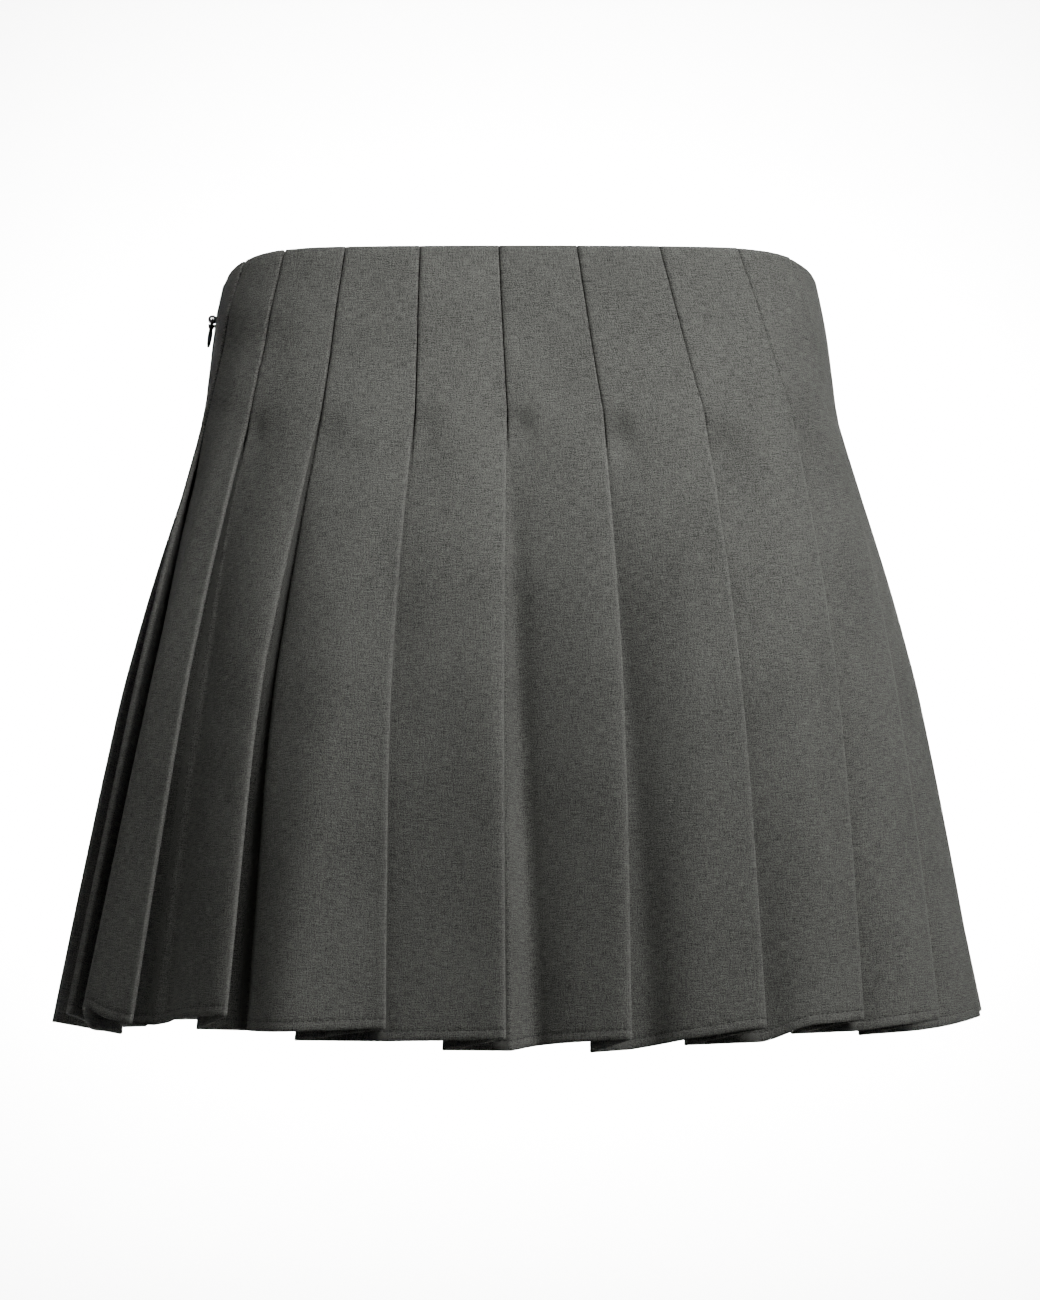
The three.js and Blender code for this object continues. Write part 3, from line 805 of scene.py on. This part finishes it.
def enamelled_zinc(zip_sizes):
    """Zinc die casting with stoved enamel: nearly black and satin, a little uneven, and dark on pale."""
    material, tree, shader = new_material("stoved_enamel_on_zinc")
    place = add_node(tree, "ShaderNodeTexCoord")
    peel = add_node(
        tree, "ShaderNodeTexNoise", {"Vector": (place, "Object"), "Scale": 1000 / 1.2, "Detail": 3.0})
    colour = add_node(
        tree, "ShaderNodeMix",
        {"Factor": (peel, "Fac"), "A": linear("1b1b1a"), "B": linear(hex_of(zip_sizes.enamel))},
        data_type="RGBA")
    gloss = add_node(
        tree, "ShaderNodeMapRange", {"Value": (peel, "Fac"), "To Min": 0.5, "To Max": 0.66})
    relief = add_node(tree, "ShaderNodeBump", {"Height": (peel, "Fac"), "Strength": 0.15, "Distance": 0.0001})
    tree.links.new(colour.outputs["Result"], shader.inputs["Base Color"])
    tree.links.new(gloss.outputs["Result"], shader.inputs["Roughness"])
    tree.links.new(relief.outputs["Normal"], shader.inputs["Normal"])
    shader.inputs["Specular IOR Level"].default_value = 0.3
    return material


# ---------------------------------------------------------------- settings


def colour_property(name, description, code):
    """A colour property with an sRGB hex default."""
    return bpy.props.FloatVectorProperty(
        name=name, description=description, subtype="COLOR", size=3, min=0, max=1, default=linear(code)[:3])


def length_property(name, description, millimetres):
    """A length property with a default in millimetres."""
    return bpy.props.FloatProperty(
        name=name, description=description, subtype="DISTANCE", unit="LENGTH", min=0, precision=5,
        default=millimetres * MM)


def power_property(name, description, watts):
    """A light's power, with a default in watts."""
    return bpy.props.FloatProperty(name=name, description=description, unit="POWER", min=0, default=watts)


class SkirtClothSettings(bpy.types.PropertyGroup):
    """Sizes and colours of the cloth and its sewing."""

    thickness: length_property("Thickness", "Thickness of the wool cloth, measured level", 0.9)
    layer_step: length_property("Layer step", "From one pressed layer of a pleat to the next", 1.3)
    groove: length_property("Groove", "From a sewn fold to the next panel's face beside it", 1.25)
    hem_extra: length_property("Hem extra", "How much thicker the cloth is where the hem is turned up", 0.5)
    stitch_pitch: length_property("Stitch pitch", "From one hem stitch to the next", 2.7)
    stitch_length: length_property("Stitch length", "Length of a hem stitch that shows", 1.9)
    stitch_radius: length_property("Stitch radius", "Radius of the sewing thread", 0.17)
    streak: length_property("Streak", "Thickness of a light or dark streak of the weave", 0.42)
    dark_yarn: colour_property("Dark yarn", "The wool's darkest yarns", "333331")
    light_yarn: colour_property("Light yarn", "The wool's lightest yarns", "7d7e79")
    # colour of the painted highlight along the fold edges
    edge_highlight_colour: colour_property("Edge highlight", "The wool on its pressed fold edges", "8c8d88")
    thread_colour: colour_property("Thread", "The sewing thread", "35362f")
    sheen: bpy.props.FloatProperty(
        name="Sheen", description="Strength of the nap's sheen", subtype="FACTOR", min=0, max=1, default=0.15)


class SkirtZipSettings(bpy.types.PropertyGroup):
    """Sizes and colours of the concealed zip."""

    tape_width: length_property("Tape width", "Width of each tape behind the seam", 6.2)
    tape_thickness: length_property("Tape thickness", "Thickness of the knitted tape", 0.7)
    coil_pitch: length_property("Coil pitch", "From one turn of the coil to the next", 1.0)
    coil_wire: length_property("Coil wire", "Diameter of the coil's monofilament", 0.45)
    pull_length: length_property("Pull length", "From the pull's axle to its tip", 13.6)
    enamel: colour_property("Enamel", "The slider and the pull", "2b2b2a")


class SkirtStageSettings(bpy.types.PropertyGroup):
    """The studio round the skirt."""

    paper: colour_property("Paper", "The floor and backdrop", "f4f4f3")
    key_power: power_property("Key light", "Power of the soft key light", 6.6)
    fill_power: power_property("Fill light", "Power of the fill light on the other side", 1.1)
    backdrop_power: power_property("Backdrop lights", "Power of each light on the backdrop", 206)
    surround: bpy.props.FloatProperty(
        name="Surround", description="Strength of the white surround", min=0, default=0.02)


# ---------------------------------------------------------------- pieces


class Cut:
    """The cloth's sizes in millimetres, from its settings."""

    def __init__(self, cloth):
        self.thickness = cloth.thickness / MM
        self.layer_step = cloth.layer_step / MM
        self.groove = cloth.groove / MM
        self.hem_extra = cloth.hem_extra / MM


PANELS = ["back_panel", "front_panel"]
BOX_NEAR = 8.0  # the cloth's box lies this near its solid's, in millimetres


def panel_line(panel, cut):
    """The creased middle line of a panel at the cloth's levels."""
    line = PanelLine(panel, cloth_levels(), cut)
    line.crease()
    return line


def faces_of_cloth(levels, cut):
    """How far the outer and inner faces lie from the middle line at each level: half the thickness, more
    inside where the hem is turned up, less at the rounded top and bottom edges, and with a dent at the
    stitches."""
    thin = 0.45  # share of the thickness at the very edges
    edge = lerp(thin, 1, smoothstep(levels, 0, TOP_EDGE)) * lerp(1, thin, smoothstep(levels, BOTTOM_EDGE, 1))
    turned = cut.hem_extra * smoothstep(levels, *HEM_STEP)
    deep, wide = 0.14, 0.0012  # the dent's depth in millimetres and its half width as a share of the length
    dent = deep * np.exp(-(((levels - cloth_levels()[STITCH_ROW]) / wide) ** 2))
    return cut.thickness / 2 * edge - dent, -(cut.thickness / 2 + turned) * edge


def make_panel(number, cloth):
    """One panel's cloth: the closed wall between the two faces of its middle line."""
    node = PANELS[number]
    cut = Cut(cloth)
    line = panel_line(number, cut)
    outer, inner = faces_of_cloth(line.levels, cut)
    walls = np.concatenate([offset(line.points, outer), offset(line.points, inner)])
    rows, columns = line.points.shape[:2]
    uv, from_fold = line.weave_map()
    painted_highlight = 1.3  # half width of the painted highlight along a fold edge
    # painted highlight: the wool is lightened along each fold edge, where the light catches it, fading in
    # where the pleats let go
    pressed = np.exp(-((from_fold / painted_highlight) ** 2)) * smoothstep(line.levels[:, None], 0.2, 0.3)
    vertices = walls[..., :3].reshape(-1, 3) * MM
    piece = new_piece(
        node + "_cloth",
        vertices,
        shell_faces(rows, columns),
        material_named("worsted_wool", worsted_wool, cloth),
        uv=np.tile(uv.reshape(-1, 2), (2, 1)),
        values={"pressed": np.tile(pressed.ravel(), 2)},
    )
    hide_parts(node)
    low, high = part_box(node)
    apart = max(np.abs(vertices.min(0) - low).max(), np.abs(vertices.max(0) - high).max()) / MM
    if apart > BOX_NEAR:
        raise RuntimeError(f"{piece.name} reaches {apart:.1f} mm from its solid's box")
    return piece


def stitches_along(path, outwards, cloth):
    """Stitches along a path [n, 3] in millimetres with outward directions [n, 3]: each is a thread whose
    round section swells from its ends, which dip into the cloth, as one grid of rings by sides a stitch."""
    pitch, half = cloth.stitch_pitch / MM, cloth.stitch_length / MM / 2
    radius = cloth.stitch_radius / MM
    run = np.concatenate([[0], np.cumsum(np.linalg.norm(np.diff(path, axis=0), axis=-1))])
    centres = np.arange(pitch / 2, run[-1] - pitch / 2, pitch)
    along = np.array([-1.0, -0.8, 0.0, 0.8, 1.0])
    size = np.array([0.12, 0.8, 1.0, 0.8, 0.12])
    sides = 6
    at = centres[:, None] + along * half
    read = lambda table: np.stack([np.interp(at, run, table[:, i]) for i in range(3)], axis=-1)
    middle, out = read(path), unit(read(outwards))
    middle += out * (radius * (0.55 - 1.1 * np.abs(along) ** 3))[None, :, None]
    ahead = unit(np.gradient(middle, axis=1))
    across = np.cross(ahead, out)
    turn = np.linspace(0, 2 * np.pi, sides, endpoint=False)
    ring = out[:, :, None] * np.cos(turn)[:, None] + across[:, :, None] * np.sin(turn)[:, None]
    points = middle[:, :, None] + ring * (radius * size)[None, :, None, None]
    rings = len(along)
    one = grid_faces(rings, sides, round_rows=True, flip=True)
    ends = np.array([[0, 1, 2, 3], [3, 4, 5, 0]])
    far = ends[:, ::-1] + (rings - 1) * sides
    one = np.concatenate([one, ends, far])
    faces = one[None] + (np.arange(len(centres)) * rings * sides)[:, None, None]
    return points.reshape(-1, 3) * MM, faces.reshape(-1, 4)


def make_stitching(number, cloth):
    """The row of topstitching above one panel's hem."""
    cut = Cut(cloth)
    line = panel_line(number, cut)
    outer, _ = faces_of_cloth(line.levels, cut)
    face = offset(line.points, outer)[STITCH_ROW, :, :3]
    outwards = face - line.points[STITCH_ROW, :, :3]
    outwards[:, 2] = 0
    vertices, faces = stitches_along(face, unit(outwards), cloth)
    return new_piece(
        PANELS[number] + "_hem_stitches", vertices, faces,
        material_named("spun_polyester_thread", spun_thread, cloth), sharp=180)


class SKIRT_OT_panels(bpy.types.Operator):
    """Makes the pleated cloth of the back and front panels."""

    bl_idname = "skirt.panels"
    bl_label = "Pleated panels"

    def execute(self, context):
        for number, node in enumerate(PANELS):
            piece = make_panel(number, context.scene.skirt_cloth)
            stitches = make_stitching(number, context.scene.skirt_cloth)
        return {"FINISHED"}


# Zip, in millimetres: the slider and the pull stand about the pull's axle, with X out of the cloth, Y across
# the seam and Z up along it
ZIP_LEVELS = (0.012, 0.44)  # the tapes' top and bottom, as shares of the length
COIL_TOP = 0.056  # the coil shows closed below the slider
COIL_HALF = (0.62, 0.5)  # half width and half depth of the coil's line
COIL_BEHIND = 0.25  # from the tapes' middle to the coil's
TAPE_FROM_SEAM = 0.9
TAPE_GAP = 0.35  # from the cloth to the tape behind it
SLIDER_BODY = (1.1, 2.6, 4.25)  # half depth, half width, half height
SLIDER_BACK = -6.9  # the middle of the slider's body
NECK_FRONT = -1.25
NECK_HALF = (0.5, 1.2)  # half width and half height
EYE_RING = (1.55, 0.7)  # radius of the ring's line and of its section
WINDOW = (1.33, 2.65)  # the pull's loop: half width and depth of its line
LOOP_WIRE = 0.75
TAIL_TOP = 2.0
TAIL = {"shoulder": 1.75, "waist": 0.95, "tip": 1.9}  # half widths
TAIL_NARROWS, TAIL_WIDENS, TIP_STARTS = 5.4, 5.0, 2.2  # down to the waist, down from it, up from the tip
TAIL_THICKNESS = np.array([
    # down, half thickness
    [2.0, 1.8], [3.6, 1.6], [4.7, 0.95], [7.4, 1.2], [9.8, 1.1], [12.4, 0.8], [13.6, 0.6],
])


def seam_of_zip(levels, cut):
    """The panels' edges beside the zip: the back's and the front's lines away from the seam, and the seam's
    middle line with the directions across it and out of the cloth, all [level, place, 4] or [level, 3]."""
    back, front = PanelLine(0, levels, cut), PanelLine(1, levels, cut)
    for line in (back, front):
        line.crease()
    back, front = back.points, front.points[:, ::-1]
    middle = (back[:, 0, :3] + front[:, 0, :3]) / 2
    across = back[:, 1, :3] - back[:, 0, :3]
    across[:, 2] = 0
    across = unit(across)
    out = np.stack([across[:, 1], -across[:, 0], 0 * across[:, 0]], axis=-1)
    return back, front, middle, across, out


def read_rows(distance, line):
    """Each level's line read at distances from its first point: [level, place, n]."""
    steps = np.linalg.norm(np.diff(line[..., :2], axis=1), axis=-1)
    run = np.concatenate([np.zeros((len(line), 1)), np.cumsum(steps, axis=1)], axis=1)
    row = (run.max() + 1) * np.arange(len(line))[:, None]
    at = distance[None, :] + row
    table = (run + row).ravel()
    return np.stack([np.interp(at, table, line[..., k].ravel()) for k in range(line.shape[-1])], axis=-1)


def make_tape(side, cloth, zip_sizes):
    """One zip tape: a thin closed wall behind the panel's edge, which follows the panel's own line."""
    cut = Cut(cloth)
    levels = np.linspace(*ZIP_LEVELS, 56)
    back, front, *_ = seam_of_zip(levels, cut)
    width, thick = zip_sizes.tape_width / MM, zip_sizes.tape_thickness / MM
    distance = TAPE_FROM_SEAM + np.linspace(0, width, 9)
    line = read_rows(distance, back) if side == "back" else read_rows(distance, front)[:, ::-1]
    depth = cut.thickness / 2 + TAPE_GAP + thick / 2
    walls = np.concatenate([offset(line, thick / 2 - depth), offset(line, -thick / 2 - depth)])
    rows, columns = line.shape[:2]
    uv = np.stack(np.meshgrid(distance, levels * SIDE_LENGTH), axis=-1).reshape(-1, 2) * MM
    piece = new_piece(
        f"zip_tape_{side}_knitted", walls[..., :3].reshape(-1, 3) * MM, shell_faces(rows, columns),
        material_named("knitted_polyester_tape", knitted_tape),
        uv=np.tile(uv, (2, 1)))
    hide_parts(f"zip_tape_{side}")
    return piece


def make_coil(cloth, zip_sizes):
    """The zip's closed coil: one monofilament as a flattened helix between the tapes, down the seam."""
    cut = Cut(cloth)
    levels = np.linspace(COIL_TOP, ZIP_LEVELS[1], 60)
    _, _, middle, across, out = seam_of_zip(levels, cut)
    run = np.concatenate([[0], np.cumsum(np.linalg.norm(np.diff(middle, axis=0), axis=-1))])
    wire, pitch = zip_sizes.coil_wire / MM / 2, zip_sizes.coil_pitch / MM
    a_turn = 12
    at = np.linspace(0, run[-1], int(run[-1] / pitch * a_turn))
    spine, wide, deep = (
        np.stack([np.interp(at, run, table[:, k]) for k in range(3)], axis=-1)
        for table in (middle, across, out))
    turn = (2 * np.pi * at / pitch)[:, None]
    depth = cut.thickness / 2 + TAPE_GAP + zip_sizes.tape_thickness / MM / 2
    round_it = wide * COIL_HALF[0] * np.cos(turn) + deep * COIL_HALF[1] * np.sin(turn)
    vertices, faces = tube(spine - deep * (depth + COIL_BEHIND) + round_it, round_it, wire, sides=6)
    return new_piece(
        "zip_coil", vertices * MM, faces,
        material_named("dyed_nylon_monofilament", nylon_coil), sharp=180)


def about_axle(points, cloth):
    """Points about the pull's axle, in millimetres, moved to the skirt's frame, in metres."""
    joint = frame["joints"][0]
    sideways = -np.array(joint["axis"])
    levels = np.array([0.016, COIL_TOP])  # from the slider's top to the coil's
    middle = seam_of_zip(levels, Cut(cloth))[2]
    up = unit(middle[0] - middle[1])
    out = unit(np.cross(sideways, up))
    up = np.cross(out, sideways)
    return np.array(joint["pos_m"]) + points @ np.array([out, sideways, up]) * MM


def make_slider(cloth, zip_sizes):
    """The closed slider: a rounded body behind the tapes, a neck through the slit and an eye for the pull."""
    neck_half = (NECK_FRONT - SLIDER_BACK) / 2
    turn = np.linspace(0, 2 * np.pi, 28, endpoint=False)[:, None]
    spoke = np.concatenate([np.cos(turn), 0 * turn, np.sin(turn)], axis=1)
    vertices, faces = joined([
        block(SLIDER_BODY, (SLIDER_BACK, 0, 0)),
        block((neck_half, *NECK_HALF), (NECK_FRONT - neck_half, 0, 0), 0.35),
        tube(EYE_RING[0] * spoke, spoke, EYE_RING[1], sides=10, closed=True),
    ])
    piece = new_piece(
        "zip_slider_cast", about_axle(vertices, cloth), faces,
        material_named("stoved_enamel_on_zinc", enamelled_zinc, zip_sizes))
    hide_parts("zip_slider")
    return piece


def make_pull(cloth, zip_sizes):
    """The hanging pull: a loop of rounded-oblong line through the slider's eye, and a tail whose sections
    |y / w|^3 + |x / t|^3 = 1 narrow below the loop, widen again and close in a round tip."""
    half, deep = WINDOW
    turn = np.linspace(0, 2 * np.pi, 44, endpoint=False)[:, None]
    wide, high = signed_power(np.cos(turn), 0.45), signed_power(np.sin(turn), 0.45)
    loop = np.concatenate([0 * turn, half * wide, deep / 2 * (high - 1)], axis=1)
    side = np.zeros_like(loop) + np.array([1.0, 0, 0])
    length = zip_sizes.pull_length / MM
    down = TAIL_TOP + (length - TAIL_TOP) * np.sin(np.linspace(0.02, 1, 40) * np.pi / 2)
    width = lerp(TAIL["shoulder"], TAIL["waist"], smoothstep(down, TAIL_TOP, TAIL_NARROWS))
    width += (TAIL["tip"] - TAIL["waist"]) * smoothstep(down, TAIL_WIDENS, length - TIP_STARTS)
    tip = np.clip((down - (length - TAIL["tip"])) / TAIL["tip"], 0, 1)
    close = np.sqrt(np.maximum(1 - tip**2, 0.002))
    thick = np.interp(down, *TAIL_THICKNESS.T) * np.minimum(1, 0.5 + close)
    angle = np.linspace(0, 2 * np.pi, 20, endpoint=False)[None, :]
    sections = np.stack([
        thick[:, None] * signed_power(np.sin(angle), 2 / 3),
        (width * close)[:, None] * signed_power(np.cos(angle), 2 / 3),
        -down[:, None] + 0 * angle,
    ], axis=-1)
    vertices, faces = joined([tube(loop, side, LOOP_WIRE, sides=10, closed=True), capped_rings(sections)])
    piece = new_piece(
        "zip_pull_cast", about_axle(vertices, cloth), faces,
        material_named("stoved_enamel_on_zinc", enamelled_zinc, zip_sizes),
        body="pull_tab", sharp=60)
    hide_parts("zip_pull")
    return piece


class SKIRT_OT_zip(bpy.types.Operator):
    """Makes the concealed zip: two tapes, the coil, the slider and the hanging pull."""

    bl_idname = "skirt.zip"
    bl_label = "Concealed zip"

    def execute(self, context):
        cloth, zip_sizes = context.scene.skirt_cloth, context.scene.skirt_zip
        for side in ("back", "front"):
            make_tape(side, cloth, zip_sizes)
        make_coil(cloth, zip_sizes)
        make_slider(cloth, zip_sizes)
        make_pull(cloth, zip_sizes)
        return {"FINISHED"}


class SKIRT_OT_stage(bpy.types.Operator):
    """Makes the pale studio sweep, the soft lights and the camera behind the skirt."""

    bl_idname = "skirt.stage"
    bl_label = "Studio"

    def execute(self, context):
        stage = context.scene.skirt_stage
        make_sweep(stage)
        make_lights(stage)
        make_camera()
        return {"FINISHED"}


BACKDROP = -5.5  # the backdrop's y in metres, far enough off to look at the front from between the two
MIDDLE = -0.17  # height of the skirt's middle in metres


def make_sweep(stage):
    """Floor and backdrop in one sweep: flat, then a quarter circle up, then upright, drawn along X."""
    back = BACKDROP
    floor, front, radius, top, half = -1.51, 6.0, 1.374, 5.62, 8.6
    turn = np.linspace(0, np.pi / 2, 13)
    y = np.concatenate([[front], back + radius - radius * np.sin(turn), [back]])
    z = np.concatenate([[floor], floor + radius - radius * np.cos(turn), [top]])
    x = np.array([-half, half])
    grid = np.stack([
        np.broadcast_to(x, (len(y), 2)),
        np.broadcast_to(y[:, None], (len(y), 2)),
        np.broadcast_to(z[:, None], (len(y), 2)),
    ], axis=-1)
    mesh = bpy.data.meshes.new("studio_sweep")
    mesh.from_pydata(grid.reshape(-1, 3).tolist(), [], grid_faces(len(y), 2).tolist())
    mesh.polygons.foreach_set("use_smooth", np.ones(len(mesh.polygons), bool))
    material, tree, shader = new_material("seamless_paper")
    place = add_node(tree, "ShaderNodeTexCoord")
    grain = add_node(
        tree, "ShaderNodeTexNoise", {"Vector": (place, "Object"), "Scale": 1000 / 25.0, "Detail": 3.0})
    tint = add_node(
        tree, "ShaderNodeMix",
        {"Factor": (grain, "Fac"), "A": linear("f1f1f0"), "B": linear(hex_of(stage.paper))},
        data_type="RGBA")
    tree.links.new(tint.outputs["Result"], shader.inputs["Base Color"])
    shader.inputs["Roughness"].default_value = 0.95
    mesh.materials.append(material)
    sweep = bpy.data.objects.new("studio_sweep", mesh)
    bpy.context.scene.collection.objects.link(sweep)


def add_light(name, place, aim, size, power, spread=180):
    """A square soft light at a place, aimed at a point, in metres."""
    data = bpy.data.lights.new(name, "AREA")
    data.shape = "RECTANGLE"
    data.size, data.size_y = size
    data.energy = power
    data.spread = math.radians(spread)
    light = bpy.data.objects.new(name, data)
    light.location = place
    light.rotation_euler = (Vector(aim) - Vector(place)).to_track_quat("-Z", "Y").to_euler()
    bpy.context.scene.collection.objects.link(light)


GRID = 35  # degrees over which the softboxes' grids let the light spread


def make_lights(stage):
    """A key light high on the wearer's right, a weaker fill on the left, a light on each side of the backdrop
    and a white surround."""
    for name, side, power in (("key_softbox", -1, stage.key_power), ("fill_softbox", 1, stage.fill_power)):
        add_light(name, (side * 1.06, 1.06, 2.45), (0, 0, -0.15), (0.9, 0.9), power, GRID)
    for side in (-1, 1):
        place, aim = (side * 2.576, -2.752, MIDDLE), (0, BACKDROP, MIDDLE)
        add_light("backdrop_softbox", place, aim, (0.69, 1.72), stage.backdrop_power, 45)
    world = bpy.data.worlds.new("white_surround")
    world.use_nodes = True
    background = world.node_tree.nodes["Background"]
    background.inputs["Color"].default_value = linear("ffffff")
    background.inputs["Strength"].default_value = stage.surround
    bpy.context.scene.world = world


def make_camera():
    """A long lens straight behind the skirt, level with its middle."""
    data = bpy.data.cameras.new("camera")
    data.sensor_fit = "AUTO"
    data.sensor_width = 36.0
    focal_in_frames, frame_height = 5046.0, 1300.0
    data.lens = data.sensor_width * focal_in_frames / frame_height
    data.clip_end = 100
    camera = bpy.data.objects.new("camera", data)
    camera.location = (0, 2.4, -0.169)
    camera.rotation_euler = (math.pi / 2, 0, math.pi)
    bpy.context.scene.collection.objects.link(camera)
    bpy.context.scene.camera = camera


class SKIRT_PT_panel(bpy.types.Panel):
    """The skirt's operators and settings in the sidebar."""

    bl_idname = "SKIRT_PT_panel"
    bl_label = "Pleated mini skirt"
    bl_space_type = "VIEW_3D"
    bl_region_type = "UI"
    bl_category = "Skirt"

    def draw(self, context):
        for operator in OPERATORS:
            self.layout.operator(operator.bl_idname)
        for group in SETTINGS:
            values = getattr(context.scene, group)
            box = self.layout.box()
            for key in values.bl_rna.properties.keys():
                if key not in ("name", "rna_type"):
                    box.prop(values, key)


OPERATORS = [SKIRT_OT_panels, SKIRT_OT_zip, SKIRT_OT_stage]
SETTINGS = {
    "skirt_cloth": SkirtClothSettings,
    "skirt_zip": SkirtZipSettings,
    "skirt_stage": SkirtStageSettings,
}


def register():
    """Registers the classes and hangs the settings on the scene."""
    for group, settings in SETTINGS.items():
        bpy.utils.register_class(settings)
        setattr(bpy.types.Scene, group, bpy.props.PointerProperty(type=settings))
    for member in [*OPERATORS, SKIRT_PT_panel]:
        bpy.utils.register_class(member)


def unregister():
    """Takes the classes and the settings away again."""
    for member in [SKIRT_PT_panel, *reversed(OPERATORS)]:
        bpy.utils.unregister_class(member)
    for group, settings in SETTINGS.items():
        delattr(bpy.types.Scene, group)
        bpy.utils.unregister_class(settings)


def main():
    """Makes every piece in order."""
    register()
    bpy.ops.skirt.panels()
    bpy.ops.skirt.zip()
    bpy.ops.skirt.stage()


if __name__ == "__main__":
    main()
